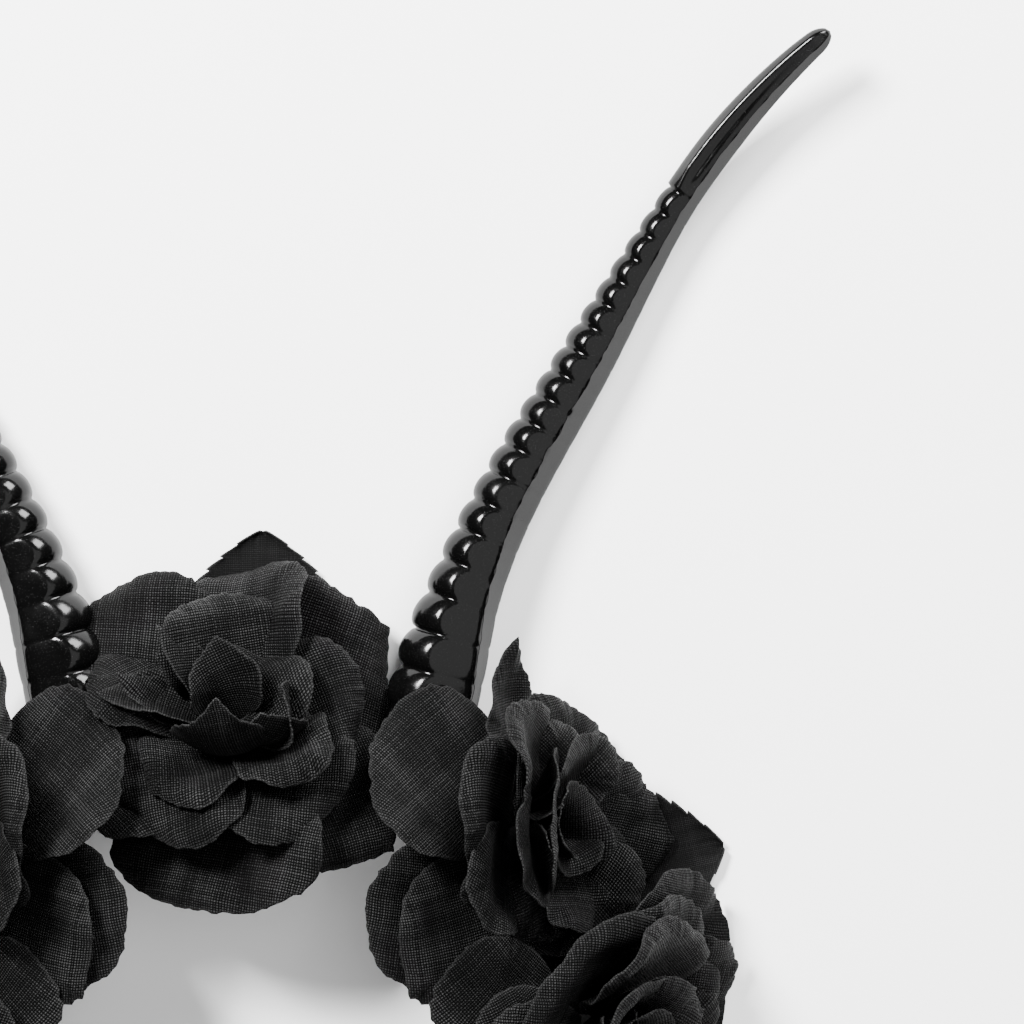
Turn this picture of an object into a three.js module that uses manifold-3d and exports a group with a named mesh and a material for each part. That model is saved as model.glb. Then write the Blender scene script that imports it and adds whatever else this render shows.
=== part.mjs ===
// A costume headband: a hoop that carries two long ribbed horns, five cloth roses and three cloth leaves.
// It lies on its back on a surface at z = 0. X runs across it, Y from the open ends of the hoop to the horns,
// and Z up, the way that the roses face. Lengths are in millimetres and angles in degrees.
import * as THREE from "three";
import { mergeVertices } from "three/addons/utils/BufferGeometryUtils.js";
import Module from "manifold-3d";

const wasm = await Module();
wasm.setup();

const RAD = Math.PI / 180;
const gap = 0.3; // between pieces that touch
const finest = 0.04; // detail that is kept where one piece is cut clear of another

// Hoop
const bandRadius = 66; // of the middle of its wall, over the crown
const bandWidth = 12;
const bandThickness = 2;
const bandCorner = 0.6;
const crownHalfSweep = 94.5; // the crown's arc, to each side of its top
const armRadius = 160; // each arm bends in on this flatter arc
const armLength = 60;
const tipLength = 7; // over which an arm's end is rounded off
const tipWidthShare = 0.6; // of the hoop's width that is left at the very end
const crownSteps = 17;
const armSteps = 3;

// Horns
const hornLength = 190;
const hornBaseRadius = 9.9;
const hornSeatAngle = 31.5; // from the top of the hoop
const hornStandoff = 3; // of the horn's foot from the hoop
const shellWall = 1.6;
const seamAngle = 38; // of the joint between the half shells, from the outer side towards the front
const ribCount = 20;
const ribStart = 2.6; // from the foot
const ribPitch = 5.7; // that the ribs come down to
const ribExtra = 3.8; // by which the first rib is longer
const ribFade = 0.85; // what is left of the extra from one rib to the next
const ribDepth = 0.22; // share of the local radius
const ribQuietSide = 0.25; // share of the rib's depth that is left on the outer side
const ribBoldAngle = 150; // where the ribs stand out most
const ribPeak = 0.45; // share of a rib's length at which it is thickest
const ribFullness = 0.7; // below 1, a rib is round like a bead
const tipGroove = 0.08; // share of the local radius
const tipGrooveAngle = 105;
const tipRound = 0.03; // share of the horn's length over which its end is rounded off
const tipBlunt = 0.97;
const cavityShare = 0.7; // of the horn's length that is hollow
const pegLength = 8;
const footTaper = 0.92;
const hornSides = 8;
const backAngle = 270;

// The horn's course: shares of its length and of its radius at the foot, how far it heads out from straight
// up, and how far it rises off the surface.
const hornCourse = [
  { along: 0, heading: 12, girth: 1, rise: -0.3 },
  { along: 0.127, heading: 15, girth: 0.975, rise: -0.9 },
  { along: 0.216, heading: 21, girth: 0.82, rise: -3 },
  { along: 0.309, heading: 26.5, girth: 0.737, rise: -3.2 },
  { along: 0.429, heading: 30.8, girth: 0.687, rise: -2.6 },
  { along: 0.527, heading: 30, girth: 0.626, rise: -1.4 },
  { along: 0.623, heading: 29.6, girth: 0.52, rise: 1 },
  { along: 0.722, heading: 32.5, girth: 0.42, rise: 4 },
  { along: 0.827, heading: 39, girth: 0.405, rise: 7.5 },
  { along: 0.941, heading: 47, girth: 0.315, rise: 11 },
  { along: 1, heading: 52, girth: 0.24, rise: 12 },
];

// Roses
const roseReach = 42; // of the longest petals, from the rose's axis
const petalWall = 1;
const hubRadius = 6;
const hubStep = petalWall + gap; // from one layer's hub to the next
const calyxHeight = 7;
const calyxDepth = 9;
const calyxRadius = 8.5;
const calyxTaper = 0.7;
const layerRoom = 1.5; // that each layer leaves for the one outside it
const slitDepth = 0.55; // share of a petal's length that the slit beside it takes
const slitSharpness = 5;
const heartHeight = 10; // of the middle of a rose's petals above their hub
const bendUp = 0.6; // how much a petal that is pressed turns up the rose's axis
const wideColumns = [-1, -0.82, 0, 0.82]; // lines along a petal, from one slit to just before the next
const narrowColumns = [-1, -0.6, 0.6];

// A rose's layers, from the outside in. reach and hub are shares of the sizes above. base, middle and tip are
// the angles that a petal opens to, cup is how much less its sides open, and tilt is how much further than the
// outer petals the layer leans.
const petalLayers = [
  { layer: "outer_petals", petals: 5, reach: 1, hub: 1, base: 82, middle: 92, tip: 98, cup: 4, tilt: 0 },
  { layer: "second_petals", petals: 5, reach: 0.88, hub: 0.86, base: 62, middle: 72, tip: 92, cup: 8, tilt: 6 },
  { layer: "third_petals", petals: 4, reach: 0.76, hub: 0.7, base: 44, middle: 52, tip: 76, cup: 8, tilt: 12 },
  { layer: "inner_petals", petals: 4, reach: 0.62, hub: 0.5, base: 24, middle: 28, tip: 50, cup: 4, tilt: 18 },
  { layer: "bud", petals: 3, reach: 0.46, hub: 0.3, base: 8, middle: 4, tip: 16, cup: 0, tilt: 20 },
];

// How each petal of a layer differs from the next one, in turn: its opening, in degrees, and its reach.
const petalMoods = [
  { open: 3, reach: 1 },
  { open: -4, reach: 0.94 },
  { open: 1, reach: 0.98 },
  { open: -2, reach: 1 },
  { open: 5, reach: 0.93 },
];

// Where each rose sits, as an angle from the top of the hoop and how far outside it, which way its face leans,
// and where each of its layers has its first petal.
const roses = [
  { rose: "rose_centre", at: -3.7, out: -2.5, faces: 90, lean: 20, turns: [49, 15, 70, 60, 50] },
  { rose: "rose_right_upper", at: 50.5, out: 5, faces: 5, lean: 30, turns: [5, 8, 36, 54, 56] },
  { rose: "rose_right_lower", at: 86, out: 2.5, faces: -18, lean: 30, turns: [-1, -26, -22, 17, 62] },
  { rose: "rose_left_upper", at: -50.5, out: 5, faces: 175, lean: 30, turns: [175, 172, 144, 126, 124] },
  { rose: "rose_left_lower", at: -86, out: 2.5, faces: 198, lean: 30, turns: [180, 206, 202, 163, 118] },
];

// Leaves
const leafWidth = 33;
const leafWall = 1;
const leafStalk = 5; // width at the root
const leafTip = 1.5; // width at the tip
const leafSkew = 1.1; // above 1, a leaf is widest past its middle
const leafDropShare = 0.34; // of its length, over which it comes down to the surface
const leafFold = 1.4; // that its edges stand above its middle
const leaves = [
  { leaf: "leaf_top", at: 1, heading: 89, length: 44 },
  { leaf: "leaf_right", at: 62, heading: 12, length: 46 },
  { leaf: "leaf_left", at: -66, heading: 170, length: 46 },
];

const clothBlack = { color: 0x161616, roughness: 0.9, metalness: 0 };
const shellBlack = { color: 0x0a0a0a, roughness: 0.15, metalness: 0 };
const plainBlack = { color: 0x101010, roughness: 0.5, metalness: 0 };

// The value of a table's column at a place along it, on a smooth line through its rows.
function fromTable(rows, column, along) {
  let i = 0;
  while (i < rows.length - 2 && along > rows[i + 1].along) i++;
  const before = rows[Math.max(i - 1, 0)];
  const after = rows[Math.min(i + 2, rows.length - 1)];
  const a = rows[i];
  const b = rows[i + 1];
  const span = b.along - a.along;
  const t = THREE.MathUtils.clamp((along - a.along) / span, 0, 1);
  const slopeA = ((b[column] - before[column]) / (b.along - before.along)) * span;
  const slopeB = ((after[column] - a[column]) / (after.along - a.along)) * span;
  return (
    a[column] * (1 + 2 * t) * (1 - t) ** 2 +
    slopeA * t * (1 - t) ** 2 +
    b[column] * t * t * (3 - 2 * t) +
    slopeB * t * t * (t - 1)
  );
}

// A closed mesh as a solid
function solidOf(geometry) {
  const bare = new THREE.BufferGeometry().setAttribute("position", geometry.getAttribute("position"));
  bare.setIndex(geometry.index);
  const merged = mergeVertices(bare, 1e-4);
  return new wasm.Manifold(
    new wasm.Mesh({
      numProp: 3,
      vertProperties: new Float32Array(merged.attributes.position.array),
      triVerts: new Uint32Array(merged.index.array),
    }),
  );
}

// A solid as a mesh's geometry
function geometryOf(solid) {
  const mesh = solid.getMesh();
  const geometry = new THREE.BufferGeometry();
  geometry.setAttribute("position", new THREE.BufferAttribute(mesh.vertProperties, 3));
  geometry.setIndex(new THREE.BufferAttribute(mesh.triVerts, 1));
  geometry.computeVertexNormals();
  return geometry;
}

// A solid through rings of points. It is made again the other way round if its faces point in.
function loft(rings) {
  const count = rings[0].length;
  const points = rings.flat();
  const start = points.length;
  const centre = (ring) => ring.reduce((sum, p) => sum.add(p), new THREE.Vector3()).divideScalar(count);
  points.push(centre(rings[0]), centre(rings.at(-1)));
  const faces = [];
  for (let i = 0; i < rings.length - 1; i++)
    for (let j = 0; j < count; j++) {
      const a = i * count + j;
      const b = i * count + ((j + 1) % count);
      faces.push(a, b, a + count, b, b + count, a + count);
    }
  const last = (rings.length - 1) * count;
  for (let j = 0; j < count; j++) {
    const k = (j + 1) % count;
    faces.push(k, j, start, last + j, last + k, start + 1);
  }
  const geometry = new THREE.BufferGeometry().setFromPoints(points);
  geometry.setIndex(faces);
  const solid = solidOf(geometry);
  if (solid.volume() > 0) return solid;
  return loft(rings.map((ring) => [...ring].reverse()));
}

// A wall of cloth round a grid of points on its middle surface, as [row][column].
function clothWall(grid, thickness) {
  const rows = grid.length;
  const columns = grid[0].length;
  const at = (i, j) => grid[THREE.MathUtils.clamp(i, 0, rows - 1)][THREE.MathUtils.clamp(j, 0, columns - 1)];
  const faces = [];
  const front = [];
  const back = [];
  for (let i = 0; i < rows; i++)
    for (let j = 0; j < columns; j++) {
      const along = at(i + 1, j).clone().sub(at(i - 1, j));
      const across = at(i, j + 1).clone().sub(at(i, j - 1));
      const normal = across.cross(along).normalize();
      front.push(at(i, j).clone().addScaledVector(normal, thickness / 2));
      back.push(at(i, j).clone().addScaledVector(normal, -thickness / 2));
    }
  const under = rows * columns;
  const quad = (a, b, c, d) => faces.push(a, b, c, a, c, d);
  for (let i = 0; i < rows - 1; i++)
    for (let j = 0; j < columns - 1; j++) {
      const a = i * columns + j;
      quad(a, a + 1, a + columns + 1, a + columns);
      quad(under + a, under + a + columns, under + a + columns + 1, under + a + 1);
    }
  const rim = [];
  for (let j = 0; j < columns - 1; j++) rim.push(j);
  for (let i = 0; i < rows - 1; i++) rim.push(i * columns + columns - 1);
  for (let j = columns - 1; j > 0; j--) rim.push((rows - 1) * columns + j);
  for (let i = rows - 1; i > 0; i--) rim.push(i * columns);
  rim.forEach((a, k) => {
    const b = rim[(k + 1) % rim.length];
    quad(a, under + a, under + b, b);
  });
  const geometry = new THREE.BufferGeometry().setFromPoints([...front, ...back]);
  geometry.setIndex(faces);
  return solidOf(geometry);
}

const moved = (solid, matrix) => solid.transform(matrix.elements);

// The largest part of a solid, with what is sealed in it filled.
const wholeOf = (solid) => solid.decompose().reduce((a, b) => (a.volume() > b.volume() ? a : b));

// What is in place already, grown by the gap, cuts what comes later. All of it is in the frame of the whole.
const inPlace = [];
function fitted(solid, frame) {
  const placed = inPlace.reduce((left, other) => left.subtract(other), moved(solid, frame));
  return moved(wholeOf(placed).simplify(finest), frame.clone().invert());
}

function mesh(name, geometry, look) {
  const made = new THREE.Mesh(geometry, new THREE.MeshStandardMaterial(look));
  made.name = name;
  return made;
}

// Hoop: its course lies in a plane of its own, and starts at the left arm's end.
function bandCourse() {
  const crownEnd = crownHalfSweep * RAD;
  const armTurn = armLength / armRadius;
  const crownWay = new THREE.Vector2(Math.sin(crownEnd), Math.cos(crownEnd));
  const armCentre = crownWay.multiplyScalar(bandRadius - armRadius);
  const right = [];
  for (let i = 1; i <= armSteps; i++) {
    const angle = crownEnd + (armTurn * i) / armSteps;
    const centred = new THREE.Vector2(Math.sin(angle), Math.cos(angle)).multiplyScalar(armRadius);
    right.push({ angle, point: centred.add(armCentre), left: armLength * (1 - i / armSteps) });
  }
  const tipStart = crownEnd + armTurn * (1 - tipLength / armLength);
  const tipPoint = new THREE.Vector2(Math.sin(tipStart), Math.cos(tipStart)).multiplyScalar(armRadius);
  right.splice(armSteps - 1, 0, { angle: tipStart, point: tipPoint.add(armCentre), left: tipLength });
  const mirrored = (point) => new THREE.Vector2(-point.x, point.y);
  const left = right.map((s) => ({ ...s, angle: -s.angle, point: mirrored(s.point) }));
  const crown = [];
  for (let i = 0; i <= crownSteps; i++) {
    const angle = crownEnd * ((2 * i) / crownSteps - 1);
    const point = new THREE.Vector2(Math.sin(angle), Math.cos(angle)).multiplyScalar(bandRadius);
    crown.push({ angle, point, left: armLength });
  }
  return [...left.reverse(), ...crown, ...right];
}

// The hoop's solid, grown all round by a clearance.
function bandSolid(clearance) {
  const rings = bandCourse().map((section) => {
    const halfWidth = (bandWidth / 2) * (section.left < tipLength / 2 ? tipWidthShare : 1) + clearance;
    const halfThick = bandThickness / 2 + clearance;
    const outward = new THREE.Vector3(Math.sin(section.angle), Math.cos(section.angle), 0);
    const corners = [];
    for (const [side, face] of [[1, 1], [1, -1], [-1, -1], [-1, 1]]) {
      const ends = [
        [side * (halfThick - bandCorner), face * halfWidth],
        [side * halfThick, face * (halfWidth - bandCorner)],
      ];
      corners.push(...(side === face ? ends : ends.reverse()));
    }
    return corners.map(([out, up]) =>
      new THREE.Vector3(section.point.x, section.point.y, up).addScaledVector(outward, out),
    );
  });
  return loft(rings);
}

// The hoop and the room for the wearer's head in it: what is seated on the hoop is cut by them.
function headAndBand() {
  const inside = bandRadius - bandThickness / 2;
  const depth = bandWidth + calyxDepth + calyxHeight;
  const head = new THREE.CylinderGeometry(inside, inside, depth, 4 * crownSteps);
  head.rotateX(90 * RAD);
  head.translate(0, 0, bandWidth / 2 + gap - depth / 2);
  return solidOf(head).add(bandSolid(gap));
}

// Horns
function hornStations() {
  const steps = 240;
  const out = bandRadius + bandThickness / 2 + hornStandoff;
  const seat = hornSeatAngle * RAD;
  const level = hornBaseRadius - bandWidth / 2;
  const point = new THREE.Vector3(Math.sin(seat) * out, Math.cos(seat) * out, level);
  const stations = [];
  for (let i = 0; i <= steps; i++) {
    const along = i / steps;
    const heading = fromTable(hornCourse, "heading", along) * RAD;
    const rise = fromTable(hornCourse, "rise", along) * RAD;
    const forward = new THREE.Vector3(
      Math.sin(heading) * Math.cos(rise),
      Math.cos(heading) * Math.cos(rise),
      Math.sin(rise),
    );
    const outer = new THREE.Vector3(Math.cos(heading), -Math.sin(heading), 0);
    const front = outer.clone().cross(forward);
    stations.push({ along, point: point.clone(), forward, outer, front });
    point.addScaledVector(forward, hornLength / steps);
  }
  return stations;
}
const stations = hornStations();

// A place on the horn's middle line. Before its foot and past its tip, the line goes straight on.
function hornPlace(along) {
  const last = stations.length - 1;
  const clamped = THREE.MathUtils.clamp(along, 0, 1);
  const nearest = stations[Math.round(clamped * last)];
  const beyond = (along - nearest.along) * hornLength;
  return { ...nearest, point: nearest.point.clone().addScaledVector(nearest.forward, beyond) };
}

// Where each rib starts and ends, as shares of the horn's length: one more than there are ribs.
const ribEdges = Array.from(
  { length: ribCount + 1 },
  (_, i) => (ribStart + ribPitch * i + (ribExtra * (1 - ribFade ** i)) / (1 - ribFade)) / hornLength,
);

// How far a rib stands out at a share of its own length, from 0 to 1
const ribSkew = Math.log(0.5) / Math.log(ribPeak);
const ribSwell = (share) => Math.sin(Math.PI * share ** ribSkew) ** ribFullness;

function hornRadius(along, angle) {
  const girth = hornBaseRadius * fromTable(hornCourse, "girth", along);
  const rib = ribEdges.findIndex((edge, i) => along >= edge && along < ribEdges[i + 1]);
  const bold = ((1 + Math.cos((angle - ribBoldAngle) * RAD)) / 2) ** 1.3;
  const side = ribQuietSide + (1 - ribQuietSide) * bold;
  if (along < ribEdges[0]) return girth * (1 - ribDepth * side);
  if (rib >= 0) {
    const share = (along - ribEdges[rib]) / (ribEdges[rib + 1] - ribEdges[rib]);
    return girth * (1 - ribDepth * side * (1 - ribSwell(share)));
  }
  const grooved = Math.max(0, Math.cos((angle - tipGrooveAngle) * RAD)) ** 6;
  return girth * (1 - tipGroove * grooved * ((1 - along) / (1 - ribEdges[ribCount])));
}

function hornRing(along, radiusAt, sides) {
  const place = hornPlace(along);
  return Array.from({ length: sides }, (_, j) => {
    const angle = (360 * j) / sides + seamAngle;
    const radius = radiusAt(angle);
    return place.point
      .clone()
      .addScaledVector(place.outer, radius * Math.cos(angle * RAD))
      .addScaledVector(place.front, radius * Math.sin(angle * RAD));
  });
}

function hornOutside(clearance) {
  const rings = [hornRing(0, (angle) => hornRadius(0, angle) + clearance, hornSides)];
  for (let i = 0; i < ribCount; i++)
    for (const share of [0, ribPeak]) {
      const along = ribEdges[i] + (ribEdges[i + 1] - ribEdges[i]) * share;
      rings.push(hornRing(along, (angle) => hornRadius(along, angle) + clearance, hornSides));
    }
  const smoothSteps = 6;
  const start = ribEdges[ribCount];
  for (let i = 0; i <= smoothSteps; i++) {
    const along = start + (1 - start) * (1 - (1 - i / smoothSteps) ** 1.25);
    const intoEnd = THREE.MathUtils.clamp(1 - (1 - along) / tipRound, 0, 1);
    const rounding = Math.sqrt(1 - (tipBlunt * intoEnd) ** 2);
    rings.push(hornRing(along, (angle) => hornRadius(along, angle) * rounding + clearance, hornSides));
  }
  return loft(rings);
}

const cavityRadius = (along) =>
  hornBaseRadius * fromTable(hornCourse, "girth", along) * (1 - ribDepth) - shellWall;

function hornCavity() {
  const steps = 5;
  const rings = [];
  for (let i = -1; i <= steps; i++) {
    const along = (cavityShare * i) / steps;
    const radius = cavityRadius(Math.max(along, 0)) * (i === steps ? 0.5 : 1);
    rings.push(hornRing(along, () => radius, hornSides));
  }
  return loft(rings);
}

// The block on one side of the seam: +1 is the ribbed front half's side and -1 the rear half's.
function seamSide(side) {
  const steps = 8;
  const reach = 3 * hornBaseRadius;
  const rings = [];
  for (let i = -1; i <= steps + 1; i++) {
    const place = hornPlace(i / steps);
    const across = place.outer
      .clone()
      .multiplyScalar(Math.cos(seamAngle * RAD))
      .addScaledVector(place.front, Math.sin(seamAngle * RAD));
    const away = place.outer
      .clone()
      .multiplyScalar(-Math.sin(seamAngle * RAD) * side)
      .addScaledVector(place.front, Math.cos(seamAngle * RAD) * side);
    const corner = (sideways, off) =>
      place.point.clone().addScaledVector(across, sideways).addScaledVector(away, off);
    const near = gap / 2;
    rings.push([corner(-reach, near), corner(reach, near), corner(reach, reach), corner(-reach, reach)]);
  }
  return loft(rings);
}

// The foot stands on the hoop and plugs the horn's open end.
function footPad(clearance) {
  const below = (hornStandoff + hornBaseRadius) / hornLength;
  return loft([
    hornRing(-below, () => hornBaseRadius + clearance, 1.5 * hornSides),
    hornRing(-gap / hornLength, () => hornBaseRadius * footTaper + clearance, 1.5 * hornSides),
  ]);
}

function hornFoot() {
  const peg = pegLength / hornLength;
  const pegRing = (along) => hornRing(along, () => cavityRadius(peg) - gap, hornSides);
  const plug = loft([pegRing((-2 * gap) / hornLength), pegRing(peg)]);
  return footPad(0).add(plug).subtract(headAndBand());
}

function hornPieces(side) {
  const shell = hornOutside(0).subtract(hornCavity());
  const group = new THREE.Group();
  group.add(
    mesh(`horn_${side}_front_shell`, geometryOf(shell.intersect(seamSide(1))), shellBlack),
    mesh(`horn_${side}_rear_shell`, geometryOf(shell.intersect(seamSide(-1))), shellBlack),
    mesh(`horn_${side}_foot`, geometryOf(hornFoot()), plainBlack),
  );
  if (side === "left") group.scale.x = -1;
  return group;
}

// The hoop lies on its rear edge, or as high as the horns' backs hold it.
const hornBack = stations.map(
  (s) => s.point.z - hornRadius(s.along, backAngle) * Math.hypot(s.forward.x, s.forward.y),
);
const bandLift = Math.max(bandWidth / 2, -Math.min(...hornBack));
const lifted = new THREE.Matrix4().makeTranslation(0, 0, bandLift);

// Roses
function roseGroup({ at, out, faces, lean }) {
  const away = bandRadius + bandThickness / 2 + out;
  const front = bandLift + bandWidth / 2;
  const foot = new THREE.Vector3(Math.sin(at * RAD) * away, Math.cos(at * RAD) * away, front);
  const axis = new THREE.Vector3(
    Math.cos(faces * RAD) * Math.sin(lean * RAD),
    Math.sin(faces * RAD) * Math.sin(lean * RAD),
    Math.cos(lean * RAD),
  );
  const right = new THREE.Vector3(1, 0, 0).addScaledVector(axis, -axis.x).normalize();
  const group = new THREE.Group();
  const up = axis.clone().cross(right);
  group.quaternion.setFromRotationMatrix(new THREE.Matrix4().makeBasis(right, up, axis));
  group.position.copy(foot).addScaledVector(axis, calyxHeight);
  group.updateMatrixWorld(true);
  return group;
}

// A step along a petal, turned aside where it would come too near to a plane.
function pressedStep(from, step, axis, planes, keepOff) {
  const way = step.clone();
  for (let pass = 0; pass < 2; pass++)
    for (const { normal, constant } of planes) {
      const room = normal.dot(from) + normal.dot(way) - constant - keepOff;
      if (room >= 0) continue;
      const up = axis.clone().addScaledVector(normal, -normal.dot(axis)).normalize();
      way.addScaledVector(normal, -normal.dot(way)).addScaledVector(up, bendUp * step.length());
      way.setLength(step.length());
      const left = normal.dot(from) + normal.dot(way) - constant - keepOff;
      way.addScaledVector(normal, Math.max(0, -left));
    }
  return from.clone().add(way);
}

// One line of points from a layer's hub to its outline, at an azimuth. side is -1 and 1 at the slits beside
// the petal and 0 in its middle.
function petalLine(layer, mood, azimuth, side, site, rows) {
  const steps = 4 * rows;
  const reach = roseReach * layer.reach * mood.reach * (1 - slitDepth * Math.abs(side) ** slitSharpness);
  const lengthways = new THREE.Vector3(Math.cos(azimuth), Math.sin(azimuth), 0);
  const tilted = new THREE.Quaternion().setFromAxisAngle(site.hinge, layer.tilt * RAD);
  let point = lengthways.clone().multiplyScalar(hubRadius * layer.hub).applyMatrix4(site.frame);
  const line = [point];
  for (let i = 1; i <= steps; i++) {
    const share = (i - 0.5) / steps;
    const [from, to, part] =
      share < 0.5 ? [layer.base, layer.middle, share * 2] : [layer.middle, layer.tip, share * 2 - 1];
    const open = THREE.MathUtils.lerp(from, to, part) + mood.open * share - layer.cup * side * side;
    const step = lengthways.clone().multiplyScalar(Math.sin(open * RAD)).setZ(Math.cos(open * RAD));
    step.transformDirection(site.frame).applyQuaternion(tilted);
    step.setLength((reach - hubRadius * layer.hub) / steps);
    point = pressedStep(point, step, site.axis, site.planes, site.keepOff);
    if (i % (steps / rows) === 0) line.push(point);
  }
  return line;
}

// A wall of cloth round lines of points that run out from a hub, in order round it.
function lobedWall(lines, centre, axis, thickness) {
  const columns = lines.length;
  const rows = lines[0].length;
  const front = [];
  const back = [];
  lines.forEach((line, j) => {
    const before = lines[(j + columns - 1) % columns];
    const after = lines[(j + 1) % columns];
    line.forEach((point, i) => {
      const along = (line[i + 1] ?? point).clone().sub(line[i - 1] ?? centre);
      const normal = along.cross(after[i].clone().sub(before[i])).normalize();
      front.push(point.clone().addScaledVector(normal, thickness / 2));
      back.push(point.clone().addScaledVector(normal, -thickness / 2));
    });
  });
  const points = [...front, ...back];
  const under = columns * rows;
  points.push(centre.clone().addScaledVector(axis, thickness / 2));
  points.push(centre.clone().addScaledVector(axis, -thickness / 2));
  const faces = [];
  for (let j = 0; j < columns; j++) {
    const here = j * rows;
    const next = ((j + 1) % columns) * rows;
    faces.push(2 * under, here, next, 2 * under + 1, under + next, under + here);
    for (let i = 0; i < rows - 1; i++) {
      const [a, b, c, d] = [here + i, here + i + 1, next + i + 1, next + i];
      faces.push(a, b, c, a, c, d, under + a, under + c, under + b, under + a, under + d, under + c);
    }
    const [a, b] = [here + rows - 1, next + rows - 1];
    faces.push(a, under + a, under + b, a, under + b, b);
  }
  const geometry = new THREE.BufferGeometry().setFromPoints(points);
  geometry.setIndex(faces);
  return solidOf(geometry);
}

function roseLayer(rose, layer, depth, group, planes) {
  const step = new THREE.Matrix4().makeTranslation(0, 0, depth * hubStep);
  const frame = group.matrixWorld.clone().multiply(step);
  const axis = new THREE.Vector3(0, 0, 1).transformDirection(frame);
  const hinge = new THREE.Vector3(-Math.sin(rose.faces * RAD), Math.cos(rose.faces * RAD), 0);
  const site = { frame, axis, hinge, planes, keepOff: petalWall / 2 + depth * layerRoom };
  const sides = depth < 3 ? wideColumns : narrowColumns;
  const rows = depth < 4 ? 3 : 2;
  const half = 180 / layer.petals;
  const lines = [];
  for (let i = 0; i < layer.petals; i++)
    for (const side of sides) {
      const mood = petalMoods[(i + depth) % petalMoods.length];
      const azimuth = (rose.turns[depth] + half * (2 * i + side)) * RAD;
      lines.push(petalLine(layer, mood, azimuth, side, site, rows));
    }
  const centre = new THREE.Vector3().applyMatrix4(frame);
  const inFrame = frame.clone().invert();
  const cloth = (clearance) => lobedWall(lines, centre, axis, petalWall + 2 * clearance);
  const geometry = geometryOf(fitted(moved(cloth(0), inFrame), frame));
  const made = mesh(`${rose.rose}_${layer.layer}`, geometry, clothBlack);
  made.position.z = depth * hubStep;
  inPlace.push([gap, 0].map(cloth).reduce((room, wall) => room.add(wall)));
  return made;
}

function calyx(rose, frame) {
  const cup = new THREE.CylinderGeometry(calyxRadius, calyxRadius * calyxTaper, calyxDepth, 9);
  cup.rotateX(90 * RAD);
  cup.translate(0, 0, -calyxDepth / 2 - petalWall / 2 - gap);
  const hoop = moved(moved(headAndBand(), lifted), frame.clone().invert());
  return mesh(`${rose.rose}_calyx`, geometryOf(fitted(solidOf(cup).subtract(hoop), frame)), plainBlack);
}

// The surface, and the planes midway to the roses next door, which press a rose's petals up.
function pressingPlanes(index, frames) {
  const heart = (frame) => new THREE.Vector3(0, 0, heartHeight).applyMatrix4(frame);
  const here = heart(frames[index]);
  const planes = [{ normal: new THREE.Vector3(0, 0, 1), constant: leafWall + leafFold + gap }];
  frames.forEach((other, i) => {
    const there = heart(other);
    if (i === index || there.distanceTo(here) > 2 * roseReach) return;
    const normal = here.clone().sub(there).normalize();
    planes.push({ normal, constant: normal.dot(here.clone().add(there).divideScalar(2)) + gap / 2 });
  });
  return planes;
}

function rosePieces() {
  const groups = roses.map(roseGroup);
  const frames = groups.map((group) => group.matrixWorld);
  groups.forEach((group, index) => {
    const rose = roses[index];
    const planes = pressingPlanes(index, frames);
    for (let depth = petalLayers.length - 1; depth >= 0; depth--)
      group.add(roseLayer(rose, petalLayers[depth], depth, group, planes));
    group.add(calyx(rose, frames[index]));
  });
  return groups;
}

// A leaf leaves the hoop's outer face, comes down to the surface and lies flat on it.
function leafPiece({ leaf, at, heading, length }) {
  const out = bandRadius + bandThickness / 2 + gap + leafWall / 2;
  const root = new THREE.Vector3(Math.sin(at * RAD) * out, Math.cos(at * RAD) * out, 0);
  const along = new THREE.Vector3(Math.cos(heading * RAD), Math.sin(heading * RAD), 0);
  const across = new THREE.Vector3(-along.y, along.x, 0);
  const rows = 6;
  const columns = 4;
  const grid = [];
  for (let i = 0; i <= rows; i++) {
    const share = i / rows;
    const belly = Math.sin(Math.PI * share ** leafSkew);
    const half = (leafWidth * belly + leafStalk * (1 - share) + leafTip * share) / 2;
    const drop = THREE.MathUtils.smoothstep(share, 0, leafDropShare);
    const row = [];
    for (let j = 0; j <= columns; j++) {
      const side = (2 * j) / columns - 1;
      const height = THREE.MathUtils.lerp(bandLift, leafWall / 2 + leafFold * side * side * drop, drop);
      row.push(
        root
          .clone()
          .addScaledVector(along, share * length)
          .addScaledVector(across, side * half)
          .setZ(height),
      );
    }
    grid.push(row);
  }
  return mesh(leaf, geometryOf(fitted(clothWall(grid, leafWall), new THREE.Matrix4())), clothBlack);
}

// The hoop and its horns
function carrier() {
  const group = new THREE.Group();
  group.position.z = bandLift;
  group.add(mesh("band", geometryOf(bandSolid(0)), plainBlack), hornPieces("right"), hornPieces("left"));
  const horn = hornOutside(gap).add(footPad(gap));
  const mirrored = horn.transform(new THREE.Matrix4().makeScale(-1, 1, 1).elements);
  inPlace.push(...[bandSolid(gap), horn, mirrored].map((solid) => moved(solid, lifted)));
  return group;
}

// The whole, with its origin on the surface, under the middle of its outline.
function headband() {
  const group = new THREE.Group();
  group.add(carrier(), ...rosePieces(), ...leaves.map(leafPiece));
  const outline = new THREE.Box3().setFromObject(group, true);
  const middle = outline.getCenter(new THREE.Vector3()).setZ(outline.min.z);
  const placed = new THREE.Group().add(group);
  placed.position.copy(middle.negate());
  return placed;
}

export default headband();
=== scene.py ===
import math
from collections import namedtuple

import bmesh
import bpy
import numpy as np
from bpy.props import FloatProperty, FloatVectorProperty, IntProperty, PointerProperty
from mathutils import Matrix, Vector


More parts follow.
